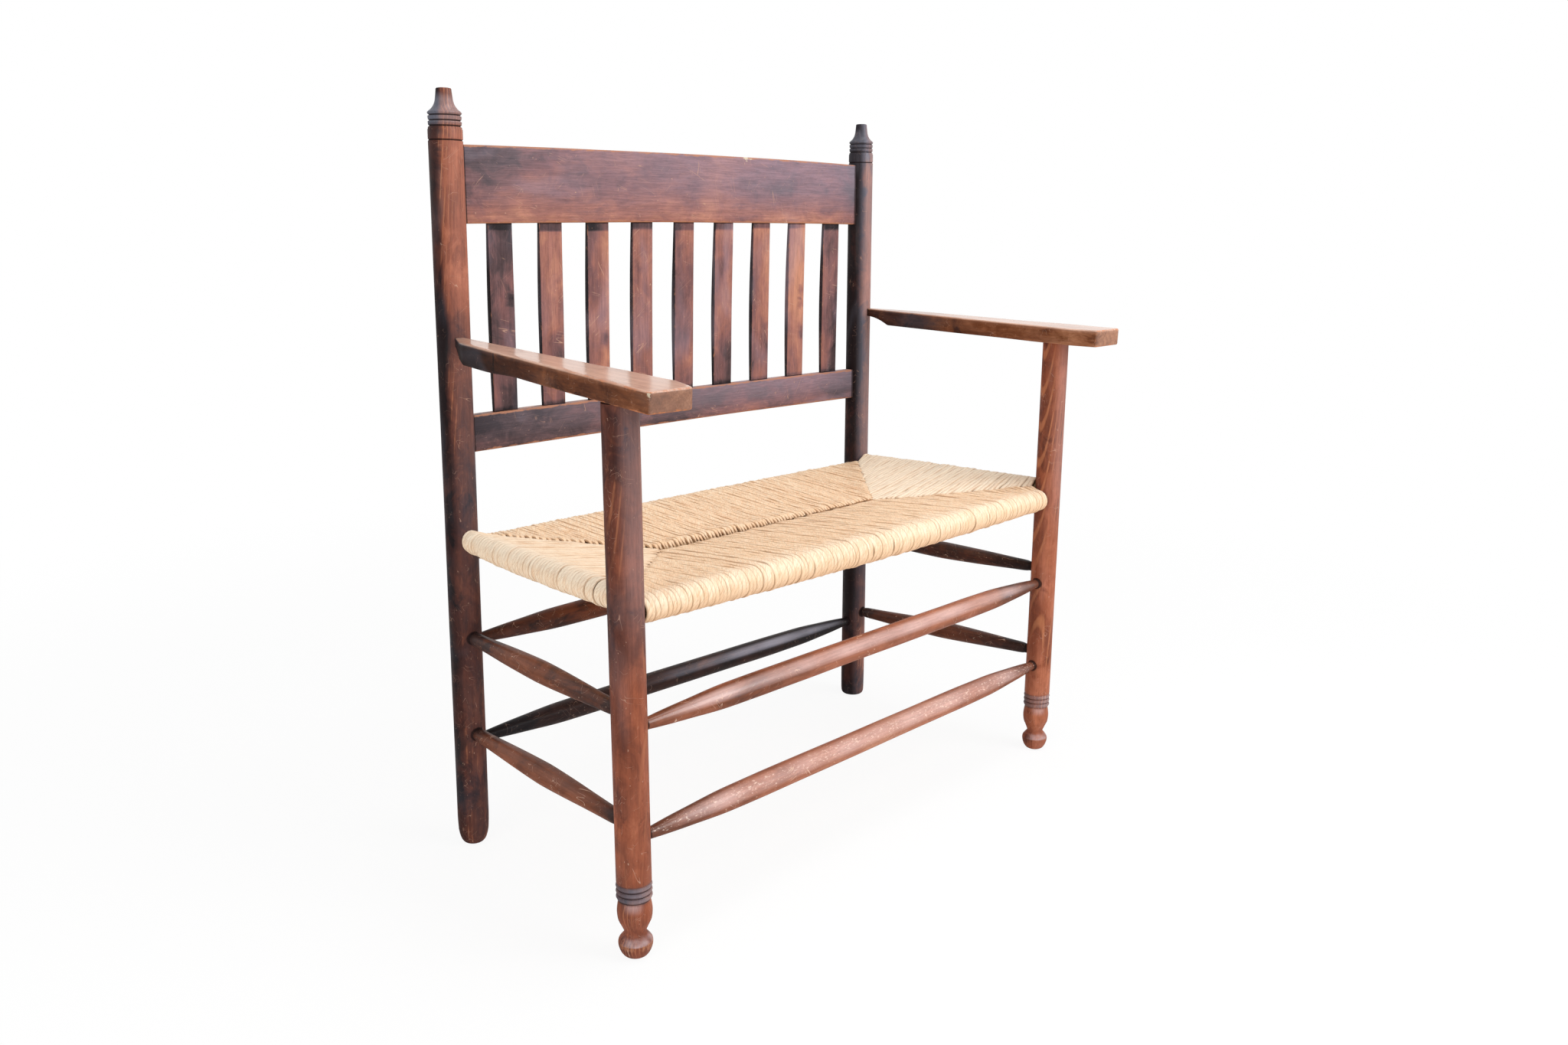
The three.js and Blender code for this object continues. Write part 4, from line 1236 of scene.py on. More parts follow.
@dataclass
class BackFrame:
    """The crest rail, the lower rail and the slats between them."""

    rail_thickness: float = 16.0
    rail_ahead: float = 6.2
    rail_rounding: float = 2.0
    rail_seat: float = 8.0
    chip_from_middle: float = 120.0
    top_arch_share: float = 1.4
    end_gap: float = 34.0
    slat_width: float = 36.5
    slat_at_ends: float = 4.2
    slat_at_middle: float = 7.6
    slat_behind_face: float = 3.6
    slat_seat: float = 6.0
    slat_tones: tuple[float, ...] = (0.37, 0.69, 0.63, 0.67, 0.62, 0.69, 0.69, 0.98, 0.5)
    knots: dict[int, tuple[float, ...]] = field(
        default_factory=lambda: {0: (0.6,), 2: (0.36,), 7: (0.56, 0.48, 0.3)})
    crest: BackRail = BackRail("crest_of_back", "crest_rail", 813, 906.3, 3, 2.5, 0.48)
    lower: BackRail = BackRail("lower_rail_of_back", "lower_back_rail", 530.6, 577.4, 8, 0, 0.3)

    def __post_init__(self) -> None:
        """Work out the lean of the back."""
        line = SKELETON.rear_right
        lean = line.at(SKELETON.rear_height) - line.at(0)
        self.lean = Vector((0, lean.y, lean.z)).normalized()
        self.away = self.lean.cross(ACROSS)

    def half_span(self, height: float) -> float:
        """Return how far a rear post's axis is from the middle at a height."""
        return SKELETON.rear_right.at(height).x

    def face_at(self, x: float, height: float, rail: BackRail, behind: float) -> Vector:
        """Return a point that far behind a rail's front face."""
        half = self.half_span(height)
        back = rail.bow * (1 - (x / half) ** 2) - self.rail_ahead + behind
        return Vector((x, *SKELETON.rear_right.at(height).yz)) + self.away * back

    def build_rail(self, rail: BackRail, material: Material) -> None:
        """Make and dress one rail."""
        middle = (rail.bottom + rail.top) / 2
        half = self.half_span(middle) - SKELETON.post_radius + self.rail_seat
        height = rail.top - rail.bottom
        board = Board(height, self.rail_thickness, 2 * half, self.rail_rounding, 14,
                      (9.0, 11.0, half + 115, half + 120, half + 125, 2 * half - 9, 2 * half - 11))
        shape = board.shape()
        worn = worn_edges(height / 2, self.rail_thickness / 2, 2 * half, 4.5)
        crest = rail is self.crest

        def grime(spot: Vector) -> float:
            """Return the grime at a place of the rail: at its ends."""
            gap = min(spot.z, 2 * half - spot.z) - self.rail_seat
            return 0.9 * (1 - ease(gap, 0, 4))

        def tone(spot: Vector) -> float:
            """Return the tone at a place of the rail: darker at its ends, warmer low down."""
            share = spot.z / (2 * half)
            ends = 1 - ease(min(share, 1 - share), 0.0, 0.13)
            low = ease(-spot.x / height, -0.1, 0.42)
            if crest:
                return rail.tone - 0.3 * ends + 0.32 * low - 0.1 * ease(share, 0.35, 0.95)
            warmer = 0.1 * low * math.sin(math.pi * share) + 0.2 * ease(share, 0.4, 0.9)
            return rail.tone + warmer - 0.14 * ends

        def bloom(spot: Vector) -> float:
            """Return the grey polish bloom and painted sheen at a place of the rail: most towards its right
            and its top.
            """
            return 0.55 * ease(spot.z / (2 * half), -0.3, 0.8) * ease(spot.x / height, -0.6, 0.3)

        def bare(spot: Vector) -> float:
            """Return where the crest's top edge is chipped."""
            chip = Vector((height / 2, -self.rail_thickness / 2, half + self.chip_from_middle))
            return 0.9 * (1 - ease((spot - chip).length, 3, 9)) if crest else 0.0

        piece = Workpiece(rail.name, shape, tone, worn, grime, bare, bloom)
        piece.age()
        for vert in shape.verts:
            x = vert.co.z - half
            raised = rail.arch * (1 - (x / half) ** 2)
            above = vert.co.x
            vert.co.x = above + raised * (self.top_arch_share if above > 0 else 1)
            vert.co.y += rail.bow * (1 - (x / half) ** 2) - self.rail_ahead + self.rail_thickness / 2
        hand_shape(shape, random.Random(rail.name).uniform(0, 30), 0.5, 60)
        origin = Vector((-half, *SKELETON.rear_right.at(middle).yz))
        place = placed(origin, self.lean, self.away, ACROSS)
        face_out(shape)
        dress(to_object(shape, rail.name, place), material, Slot.BACK, rail.node)

    def build_slat(self, i: int, material: Material) -> None:
        """Make and dress one slat, counted from the left."""
        tone_here = self.slat_tones[i]
        half_row = (self.half_span(self.crest.bottom) - SKELETON.post_radius - self.end_gap
                    - self.slat_width / 2)
        x = mix(-half_row, half_row, i / (len(self.slat_tones) - 1))
        foot = self.face_at(x, self.lower.top, self.lower, self.slat_behind_face)
        arch = self.crest.arch * (1 - (x / self.half_span(self.crest.bottom)) ** 2)
        head = self.face_at(x, self.crest.bottom + arch, self.crest, self.slat_behind_face)
        upward = (head - foot).normalized()
        seat = self.slat_seat
        length = (head - foot).length + 2 * seat
        middle = self.slat_at_middle
        knots = [share * length for share in self.knots.get(i, ())]
        board = Board(self.slat_width, middle, length, 0.9, 16,
                      (seat + 0.5, seat + 3, seat + 7, *(length - seat - gap for gap in (0.5, 3, 6, 9, 12)),
                       *(knot + gap for knot in knots for gap in range(-12, 13, 4))))
        shape = board.shape()
        rng = random.Random(f"slat {i}")
        dark_head, dark_foot = rng.uniform(7.5, 12), rng.uniform(1.5, 5)
        across = rng.uniform(-0.16, 0.16)

        def tone(spot: Vector) -> float:
            """Return the tone at a place of the slat: dark at its head and foot and round its knots, with
            painted shade on its narrow sides.
            """
            uneven = noise.noise(Vector((41 * tone_here, spot.x / 30, spot.z / 55)))
            for knot in knots:
                near = math.hypot(spot.x - 12, 0.5 * (spot.z - knot)) + 3 * noise.noise(spot / 5)
                uneven -= 1.6 * (1 - ease(near, 1, 8))
            here = (tone_here + 2 * across * spot.x / self.slat_width + 0.3 * uneven
                    - 0.12 * ease(-spot.z, -0.6 * length, 0))
            head_share = 1 - ease(length - seat - spot.z, dark_head - 1, dark_head + 1.5)
            foot_share = 1 - ease(spot.z - seat, dark_foot - 1, dark_foot + 4)
            # Painted shade: the slat's narrow sides, between the slats, are darkened.
            side = 0.6 if abs(spot.x) > self.slat_width / 2 - 0.3 else 0.0
            return here - 0.5 * head_share - 0.28 * foot_share - side

        def grime(spot: Vector) -> float:
            """Return the grime at a place of the slat."""
            return 0.8 * (1 - ease(min(spot.z, length - spot.z) - seat, 0.2, 2.4))

        edges = worn_edges(self.slat_width / 2, middle / 2, length, 2.2)
        piece = Workpiece(f"slat_{i + 1}", shape, tone,
                          lambda spot: 0.45 * edges(spot) if spot.y < 0 else 0.0, grime)
        piece.age()
        for vert in shape.verts:
            swell = math.sin(math.pi * min(max(vert.co.z / length, 0.0), 1.0))
            vert.co.y = (vert.co.y / middle + 0.5) * mix(self.slat_at_ends, middle, swell)
        hand_shape(shape, rng.uniform(0, 30), 0.4, 40)
        away = upward.cross(ACROSS).normalized()
        place = placed(foot - upward * seat, ACROSS, away, upward)
        face_out(shape)
        dress(to_object(shape, piece.name, place), material, Slot.BACK, f"back_slat_{i + 1}")

    def build(self, material: Material) -> None:
        """Make and dress the whole back."""
        self.build_rail(self.crest, material)
        self.build_rail(self.lower, material)
        for i in range(len(self.slat_tones)):
            self.build_slat(i, material)


# The arms


@dataclass
class Arm:
    """A flat arm that widens towards its front, scooped out underneath at the rear post."""

    side: Side
    front_top: float
    outer_at_front: float
    rear_top: float = 678.5
    ahead: float = 84.0
    thickness: float = 24.0
    rounding: float = 2.4
    neck_length: float = 58.0
    neck_outer: float = 6.0
    outer_at_neck: float = 30.0
    inner_at_rear: float = -1.0
    inner_at_corner: float = -4.0
    inner_at_front: float = 7.0
    inner_corner_length: float = 39.0
    corner_radius: float = 5.0
    scoop_radius: float = 98.0
    scoop_leaves: float = 12.0
    scoop_from_axis: float = 15.0
    scar_from_rear: float = 138.0
    side_tones: Stops = ((20, 0.0), (130, 0.08), (146, 0.2), (220, 0.3), (290, 0.4), (420, 0.58))
    top_tones: Stops = ((20, 0.56), (120, 0.84), (250, 0.96), (420, 1.04))
    belly: float = 2.6

    def outline(self, length: float) -> list[tuple[float, float]]:
        """Return the arm's outline as places outwards and behind the rear post's axis."""
        r = self.corner_radius
        corner = [(self.outer_at_front - r + r * math.sin(a), -length + r - r * math.cos(a))
                  for a in (math.radians(90 - 22.5 * i) for i in range(5))]
        rear = -SKELETON.post_radius / 2
        return [(self.inner_at_rear, rear), (self.neck_outer, rear),
                (mix(self.neck_outer, self.outer_at_neck, 0.9), mix(rear, -self.neck_length, 0.9)),
                (self.outer_at_neck + 0.6, -self.neck_length - 7), *corner,
                (self.inner_at_front + r, -length), (self.inner_at_front + r / 3, -length + r / 3),
                (self.inner_at_front, -length + r),
                (self.inner_at_corner, -length + self.inner_corner_length)]

    def underside(self, y: float) -> float:
        """Return how thick the arm is at a place along it."""
        across = y + self.scoop_from_axis
        reach = self.scoop_radius ** 2 - across ** 2
        if reach <= 0:
            return self.thickness
        arc = self.scoop_leaves + self.scoop_radius - math.sqrt(reach)
        return min(self.thickness, arc) if y > -self.neck_length - 10 else self.thickness

    def build(self, rear_line: PostLine, front_line: PostLine, material: Material) -> None:
        """Make and dress the arm.

        Args:
            rear_line: The rear post that it is let into.
            front_line: The front post that carries it.
            material: The arm's finish.
        """
        node = f"arm_{self.side.name.lower()}"
        name = f"flat_{node}"
        rear = rear_line.at(self.rear_top)
        front_end = front_line.at(self.front_top).y - self.ahead
        drop = self.rear_top - self.front_top
        length = math.hypot(rear.y - front_end, drop)
        away = Vector((0, rear.y - front_end, drop)).normalized()
        upward = ACROSS.cross(away)

        shape = bmesh.new()
        sign = self.side.value
        rim = [shape.verts.new((sign * x, y, -self.thickness)) for x, y in self.outline(length)]
        face = shape.faces.new(rim)
        raised = bmesh.ops.extrude_face_region(shape, geom=[face])["geom"]
        tops = [v for v in raised if isinstance(v, bmesh.types.BMVert)]
        bmesh.ops.translate(shape, vec=(0, 0, self.thickness), verts=tops)
        face_out(shape)
        rims = [e for e in shape.edges if abs(e.verts[0].co.z - e.verts[1].co.z) < 1e-3]
        bmesh.ops.bevel(shape, geom=rims, offset=self.rounding, segments=4, profile=0.5, affect="EDGES",
                        material=-1)
        slice_at(shape, [-v for v in stations(18, 72, 3.0)], BACKWARD)
        slice_at(shape, [-v for v in stations(80, length - 12, 14.0)], BACKWARD)
        slice_at(shape, [-length + v for v in (2.2, 4.4, 7, 10)], BACKWARD)
        slice_at(shape, [sign * v for v in (-1, 2, 8, 16, 24, 32, 44, 54, self.outer_at_front - 7,
                                             self.outer_at_front - 3.5)], ACROSS)
        slice_at(shape, [-self.scar_from_rear + v for v in (-4, -2, 0, 2, 4)], BACKWARD)
        slice_at(shape, (-6.0, -12.0, -18.0), UP)

        def edge_gap(spot: Vector) -> float:
            """Return how far a place is from the arm's nearest long or front edge."""
            share = min(max((-spot.y - self.neck_length) / (length - self.neck_length), 0.0), 1.0)
            outer = mix(self.outer_at_neck, self.outer_at_front, share)
            level = min(-spot.z, self.thickness + spot.z)
            side_gap = min(outer - sign * spot.x, length + spot.y)
            return max(level, side_gap) if min(level, side_gap) < 1.5 else min(level, side_gap)

        def wear(spot: Vector) -> float:
            """Return the wear at a place of the arm: most along its front and outer edges."""
            front = ease(-spot.y, length * 0.35, length)
            return (0.25 + 0.35 * front) * (1 - ease(edge_gap(spot), 0.6, 4.2))

        def tone(spot: Vector) -> float:
            """Return the tone at a place of the arm: dark at its neck, paler on top towards the front, as
            worn wood and painted light.
            """
            above = ease(spot.z, -3, -0.5)
            scar = self.side is Side.LEFT and abs(-spot.y - self.scar_from_rear) < 1.5
            side = along_stops(-spot.y, self.side_tones) - (0.4 if scar else 0.0)
            # The left arm's side is drawn darker, the right arm's lighter.
            side += 0.19 if self.side is Side.RIGHT else -0.09
            return mix(side, along_stops(-spot.y, self.top_tones), above)

        def grime(spot: Vector) -> float:
            """Return the grime at a place of the arm: where it meets the rear post, and down its neck."""
            at_post = 0.85 * (1 - ease(-spot.y, SKELETON.post_radius - 1, SKELETON.post_radius + 4))
            return max(at_post, 0.5 * (1 - ease(-spot.y, 40, 90)) * (1 - ease(spot.z, -4, -1)))

        def bare(spot: Vector) -> float:
            """Return where the arm's front corner is chipped."""
            if self.side is Side.RIGHT:
                return 0.0
            chip = Vector((-self.outer_at_front + 1.2, -length + 1.6, -3.5))
            return 1.1 * (1 - ease((spot - chip).length, 0.8, 3.6))

        def polish(spot: Vector) -> float:
            """Return how much polish is left at a place of the arm: most on top."""
            return 0.8 * ease(spot.z, -3, -0.5) * ease(-spot.y, 20, 60)

        def bloom(spot: Vector) -> float:
            """Return the painted sheen and grey polish bloom at a place of the arm: on its top and its front
            end.
            """
            return 0.16 * ease(-spot.y, length - 3, length - 0.5) + 0.3 * ease(spot.z, -3, -0.5)

        piece = Workpiece(name, shape, tone, wear, grime, bare, bloom, polish)
        piece.age()
        self._lengthwise_grain(shape)
        for vert in shape.verts:
            fuller = 0.0
            if self.side is Side.LEFT:
                fuller = self.belly * ease(-vert.co.y, 20, 50) * (1 - ease(-vert.co.y, 120, 190))
            vert.co.z *= (self.underside(vert.co.y) + fuller) / self.thickness
            if bare(vert.co) > 0.2:
                vert.co += Vector((0.9, 1.0, -0.5)) * bare(vert.co)
        hand_shape(shape, random.Random(name).uniform(0, 30), 0.6, 70)
        face_out(shape)
        place = placed(rear, ACROSS, away, upward)
        dress(to_object(shape, name, place), material, Slot.ARM, node)

    @staticmethod
    def _lengthwise_grain(shape: Shape) -> None:
        """Turn the grain so that it runs the length of the arm."""
        grain = shape.verts.layers.float_vector["grain"]
        for vert in shape.verts:
            x, y, z = vert[grain]
            vert[grain] = (x, z, y)


# The seat


@dataclass(frozen=True)
class SeatSide:
    """One seat rail's line and the roll of rush round it."""

    name: str
    start: PostLine
    start_height: float
    end: PostLine
    end_height: float
    inward: Vector
    start_roll: float
    middle_roll: float
    end_roll: float
    strands: int
    bulges: tuple[float, ...]
    dives: tuple[float, ...]
    seam_lift: float
    # The field's paleness stands for bleached rush and also for painted light.
    pale: float
    unruly: float
    relief: float


@dataclass
class RushSeat:
    """The four fields of twisted rush, each wound over its rail, and the packing inside them."""

    set_in: float = 1.0
    roll_set_in: float = 2.0
    drop_share: float = 0.7
    seam_top: float = 411.0
    seam_thickness: float = 25.0
    crown: float = 3.0
    apex_span: float = 432.0
    front_height: float = 410.0
    rear_height: float = 405.0
    strand_radius: float = 3.1
    ring_sides: int = 8
    top_rings: int = 19
    roll_rings: int = 10
    under_rings: int = 7
    end_dive: float = 8.0
    lift_fade: float = 55.0
    end_parting: float = 0.78
    ragged_end: float = 1.6
    packing_depth: float = 3.4
    deepest_dive: float = 8.0
    sides: tuple[SeatSide, ...] = (
        SeatSide("front", SKELETON.front_left, 410, SKELETON.front_right, 410, Vector((0, 1, 0)),
                 16, 19, 16, 134, (0.2, 0.0, 0.0, 0.2), (1.0, 3.0, 1.5, 1.0), -1.6, -0.07, 1.2, 0.38),
        SeatSide("rear", SKELETON.rear_right, 405, SKELETON.rear_left, 405, Vector((0, -1, 0)),
                 15, 18, 15, 125, (0.2, 0.5, 2.0, 2.2), (1.0, 2.5, 8.0, 9.0), 1.8, 0.0, 0.7, 0.8),
        SeatSide("left", SKELETON.rear_left, 420.5, SKELETON.front_left, 425, Vector((1, 0, 0)),
                 13.5, 17, 16, 53, (0.0, 0.2, 0.2, 0.2), (1.5, 1.0, 1.0, 1.0), 0.0, 0.92, 1.0, 0.4),
        SeatSide("right", SKELETON.front_right, 425, SKELETON.rear_right, 420.5, Vector((-1, 0, 0)),
                 16, 17, 13.5, 53, (0.2, 0.2, 0.2, 0.2), (1.0, 1.0, 1.0, 1.0), 0.0, 1.25, 1.3, 0.5),
    )

    def corners(self, side: SeatSide) -> tuple[Vector, Vector]:
        """Return the two seat corners that a field runs between."""
        def corner(line: PostLine) -> Vector:
            """Return the seat's corner on a post."""
            return line.at(self.rear_height if line.depth else self.front_height)
        return corner(side.start), corner(side.end)

    def apexes(self, side: SeatSide) -> tuple[Vector, Vector]:
        """Return the inner corners of a field, next to its start and its end."""
        depth = (SKELETON.front_left.at(self.front_height).y + SKELETON.rear_left.at(self.rear_height).y) / 2
        left, right = Vector((-self.apex_span / 2, depth, 0)), Vector((self.apex_span / 2, depth, 0))
        return {"front": (left, right), "rear": (right, left), "left": (left, left),
                "right": (right, right)}[side.name]

    def frame_of(self, side: SeatSide) -> tuple[Vector, Vector, Vector, Vector, float]:
        """Return a rail's start, its direction, the direction to the seam, its up, and its length."""
        start = side.start.at(side.start_height) + side.inward * self.set_in
        end = side.end.at(side.end_height) + side.inward * self.set_in
        along = (end - start).normalized()
        inward = UP.cross(along).normalized()
        return start, along, inward, along.cross(inward), (end - start).length

    def depth_of_field(self, side: SeatSide, along_here: float) -> float:
        """Return how far from its rail a field reaches at a place along it."""
        level = self.frame_of(side)[0].z
        first, last, near, far = self._plan_of(side, (
            Vector((*spot.xy, level)) for spot in (*self.corners(side), *self.apexes(side))))
        if along_here < near[0]:
            return mix(first[1], near[1], (along_here - first[0]) / (near[0] - first[0]))
        if along_here > far[0]:
            return mix(far[1], last[1], (along_here - far[0]) / (last[0] - far[0]))
        return mix(near[1], far[1], 0.5)

    def reach_of(self, side: SeatSide) -> float:
        """Return how far a field reaches from its rail at the deepest."""
        return max(gap for _, gap in self._plan_of(side, self.apexes(side)))

    def _plan_of(self, side: SeatSide, points: Iterable[Vector]) -> list[tuple[float, float]]:
        """Return points as places along a side's rail and inwards from it."""
        start, along, inward, _, _ = self.frame_of(side)
        return [((point - start).dot(along), (point - start).dot(inward)) for point in points]

    def face(self, side: SeatSide, share: float, out: float, under: bool = False) -> float:
        """Return how high above its rail a field's upper or under face stands, at a share of its reach."""
        radius, drop, inner_top, inner_bottom = self.section(side, share)
        if under:
            return mix(-radius - drop, inner_bottom, out)
        return (mix(radius - drop, inner_top, math.sin(math.pi / 2 * out))
                + self.crown * math.sin(math.pi * out))

    def face_height(self, side: SeatSide, spot: Vector, under: bool = False) -> float:
        """Return how high a field's upper or under face stands at a point of the plan."""
        start, _, _, _, length = self.frame_of(side)
        place, out = self._plan_of(side, [Vector((*spot.xy, start.z))])[0]
        share = min(max(place / length, 0.0), 1.0)
        out_share = min(max(out / self.reach_of(side), 0.0), 1.0)
        return mix(side.start_height, side.end_height, share) + self.face(side, share, out_share, under)

    def neighbour_of(self, side: SeatSide, place: float) -> SeatSide | None:
        """Return the field that a strand's inner end meets on a mitre, or None on the seam."""
        near, far = self._plan_of(side, self.apexes(side))
        around = {"front": ("left", "right"), "rear": ("right", "left"), "left": ("rear", "front"),
                  "right": ("front", "rear")}[side.name]
        if place < near[0]:
            name = around[0]
        elif place > far[0]:
            name = around[1]
        else:
            return None
        return next(other for other in self.sides if other.name == name)

    def at_inner_end(self, side: SeatSide, place: float, values: Sequence[float]) -> float:
        """Return one of a field's values, given at its first mitre, along the seam, and at its last mitre."""
        near, far = self._plan_of(side, self.apexes(side))
        seam = mix(values[1], values[2], ease(place, near[0], far[0] + 1))
        return mix(mix(values[0], seam, ease(place, near[0] - 12, near[0] + 12)), values[3],
                   ease(place, far[0] - 12, far[0] + 12))

    def end_lifts(self, side: SeatSide, place: float, depth: float) -> tuple[float, float]:
        """Return how far a strand's upper and under runs rise by their inner end, to meet the next field."""
        start, along, inward, _, _ = self.frame_of(side)
        other = self.neighbour_of(side, place)
        if other is None:
            return side.seam_lift, 0.0
        spot = start + along * place + inward * depth
        lifts = [(self.face_height(other, spot, under) - self.face_height(side, spot, under)) / 2
                 for under in (False, True)]
        near, far = self._plan_of(side, self.apexes(side))
        towards_apex = ease(depth / max(near[1], far[1]), 0.6, 1.0)
        return lifts[0] + side.seam_lift * towards_apex, lifts[1]

    def section(self, side: SeatSide, share: float) -> tuple[float, float, float, float]:
        """Return a field's roll radius, its drop, and its two faces' heights at the seam."""
        here = mix(side.start_roll, side.end_roll, share)
        radius = mix(here, side.middle_roll, math.sin(math.pi * share))
        rail = mix(side.start_height, side.end_height, share)
        top = self.seam_top - rail
        return radius, (radius - here) * self.drop_share, top, top - self.seam_thickness

    def path(self, side: SeatSide, place: float, sink: float, bulge: float, short: float = 0.0
             ) -> list[tuple[float, float, float, float]]:
        """Return a strand's line in the plane across its rail.

        Args:
            side: The field that it belongs to.
            place: Its place along the rail.
            sink: How far its line lies under the field's face.
            bulge: How far it rises before its inner end.
            short: How far it ends before the field's edge.

        Returns:
            Places across and up, each with the direction that faces outwards.
        """
        depth, reach = self.depth_of_field(side, place) - short, self.reach_of(side)
        share = place / self.frame_of(side)[4]
        radius, drop, _, _ = self.section(side, share)
        upper_lift, under_lift = self.end_lifts(side, place, depth)
        dive = min(self.end_dive, depth * 0.45)
        fade = min(self.lift_fade, depth)
        sunk_by = self.at_inner_end(side, place, side.dives)
        line: list[tuple[float, float]] = []
        for i in range(self.top_rings):
            t = i / (self.top_rings - 1)
            across = mix(depth - 0.4, self.roll_set_in, t ** 1.5)
            height = self.face(side, share, min(across / reach, 1.0))
            gap = depth - across
            sunk = max(0.0, 1 - gap / dive) ** 1.8
            swell = math.exp(-((gap - dive * 1.5) / (dive * 1.1)) ** 2)
            lift = upper_lift * (1 - ease(gap, 0, fade))
            line.append((across, height - sunk * sunk_by + bulge * swell + lift))
        for i in range(1, self.roll_rings):
            turn = math.pi * i / self.roll_rings
            line.append((self.roll_set_in - radius * math.sin(turn), radius * math.cos(turn) - drop))
        for i in range(self.under_rings):
            t = i / (self.under_rings - 1)
            across = mix(self.roll_set_in, depth - 0.4, t)
            height = self.face(side, share, across / reach, under=True)
            sunk = max(0.0, 1 - (depth - across) / dive) ** 1.8
            lift = under_lift * (1 - ease(depth - across, 0, fade))
            line.append((across, height + sunk * 6 + lift))
        facing = []
        for i, (across, height) in enumerate(line):
            before, after = line[max(i - 1, 0)], line[min(i + 1, len(line) - 1)]
            run = Vector((after[0] - before[0], after[1] - before[1])).normalized()
            out_across, out_up = run.y, -run.x
            facing.append((across - out_across * sink, height - out_up * sink, out_across, out_up))
        return facing

    def strand_stock(self, rings: int) -> bpy.types.Mesh:
        """Return one straight closed tube whose corners are numbered by ring and side."""
        stock = bmesh.new()
        bmesh.ops.create_grid(stock, x_segments=rings - 1, y_segments=self.ring_sides, size=1.0)
        ring = stock.verts.layers.int.new("ring")
        side = stock.verts.layers.int.new("side")
        for vert in stock.verts:
            vert[ring] = round((vert.co.x + 1) / 2 * (rings - 1))
            vert[side] = round((vert.co.y + 1) / 2 * self.ring_sides) % self.ring_sides
            angle = math.tau * vert[side] / self.ring_sides
            vert.co = (math.cos(angle), math.sin(angle), vert[ring])
        bmesh.ops.remove_doubles(stock, verts=stock.verts, dist=SAME_PLACE)
        rims = [edge for edge in stock.edges if edge.is_boundary]
        bmesh.ops.holes_fill(stock, edges=rims, sides=0)
        face_out(stock)
        mesh = bpy.data.meshes.new("strand_stock")
        stock.to_mesh(mesh)
        stock.free()
        return mesh

    def build_field(self, side: SeatSide, material: Material) -> None:
        """Wind one field of strands over its rail, and dress it."""
        start, along, inward, upward, length = self.frame_of(side)
        rings = self.top_rings + self.roll_rings - 1 + self.under_rings
        stock = self.strand_stock(rings)
        field_mesh = bmesh.new()
        lay = field_mesh.verts.layers.float_vector.new("lay")
        strand, soil, bleach = (field_mesh.verts.layers.float.new(label)
                                for label in ("strand", "soil", "bleach"))
        rng = random.Random(f"rush {side.name}")
        first = SKELETON.post_radius + 2.6
        pitch = (length - 2 * first) / (side.strands - 1)
        made = 0
        for i in range(side.strands):
            place = first + i * pitch
            parted = self.at_inner_end(side, place, side.dives) / self.deepest_dive
            short = (rng.uniform(-1, 1) - 0.8 * (1 - parted)) * self.ragged_end + 1.2 * parted
            depth = self.depth_of_field(side, place) - short
            lift = rng.gauss(0, 0.3)
            bulge = self.at_inner_end(side, place, side.bulges) * rng.uniform(0.4, 1.5)
            line = self.path(side, place, self.strand_radius * side.relief - lift, bulge, short)
            field_mesh.from_mesh(stock)
            field_mesh.verts.ensure_lookup_table()
            own = field_mesh.verts[made:]
            made = len(field_mesh.verts)
            ring_of = field_mesh.verts.layers.int["ring"]
            side_of = field_mesh.verts.layers.int["side"]
            runs = [0.0]
            for a, b in pairwise(line):
                runs.append(runs[-1] + math.hypot(b[0] - a[0], b[1] - a[1]))
            own_number = rng.random()
            phases = [rng.uniform(0, math.tau) for _ in range(4)]
            thick = self.strand_radius * rng.gauss(0.99, 0.07)
            waves = [rng.uniform(0.7, 1.4) for _ in range(3)]
            for vert in own:
                ring, turn = vert[ring_of], vert[side_of]
                across, height, out_across, out_up = line[ring]
                run = runs[ring]
                angle = math.tau * turn / self.ring_sides
                wander = side.unruly * (0.55 * math.sin(run / (16 * waves[0]) + phases[0])
                                        + 0.36 * math.sin(run / (6.3 * waves[1]) + phases[1]))
                swell = 1 + 0.08 * math.sin(run / (5.6 * waves[2]) + phases[2])
                gap = depth - across if ring < self.top_rings else math.inf
                parting = 1 - self.end_parting * parted * (1 - ease(gap, 0.5, 9))
                flat, wide = thick * swell * side.relief, thick * swell * (1.5 - 0.35 * side.relief) * parting
                out = math.cos(angle) * flat + 0.25 * math.sin(run / (9.3 * waves[0]) + phases[3])
                sideways = math.sin(angle) * wide + wander
                vert.co = (start + along * (place + sideways) + inward * (across + out_across * out)
                           + upward * (height + out_up * out))
                vert[lay] = (math.cos(angle), math.sin(angle), run * MM)
                vert[strand] = own_number
                # Painted shade where the strands part and dive into the seam or a mitre.
                vert[soil] = parted * self._soil(depth - across)
                # Bleach, with a painted highlight on top of the roll and painted shade low on it.
                vert[bleach] = self._bleach(side, ring)
        face_out(field_mesh)
        piece = to_object(field_mesh, f"rush_strands_{side.name}", Matrix.Identity(4))
        dress(piece, material, Slot.RUSH, f"rush_{side.name}")

    @staticmethod
    def _soil(gap: float) -> float:
        """Return how much painted shade darkens a strand by its distance from the seam or mitre that it dives
        into.
        """
        return 0.85 * (1 - ease(gap, 0.0, 7.0)) + 0.12 * (1 - ease(gap, 4.0, 26.0))

    def _bleach(self, side: SeatSide, ring: int) -> float:
        """Return how pale a strand is drawn: paler on top of its roll, as wear and painted highlight, and
        less than nothing low on it, as tan and painted shade.
        """
        turn = (ring - self.top_rings + 1) / self.roll_rings
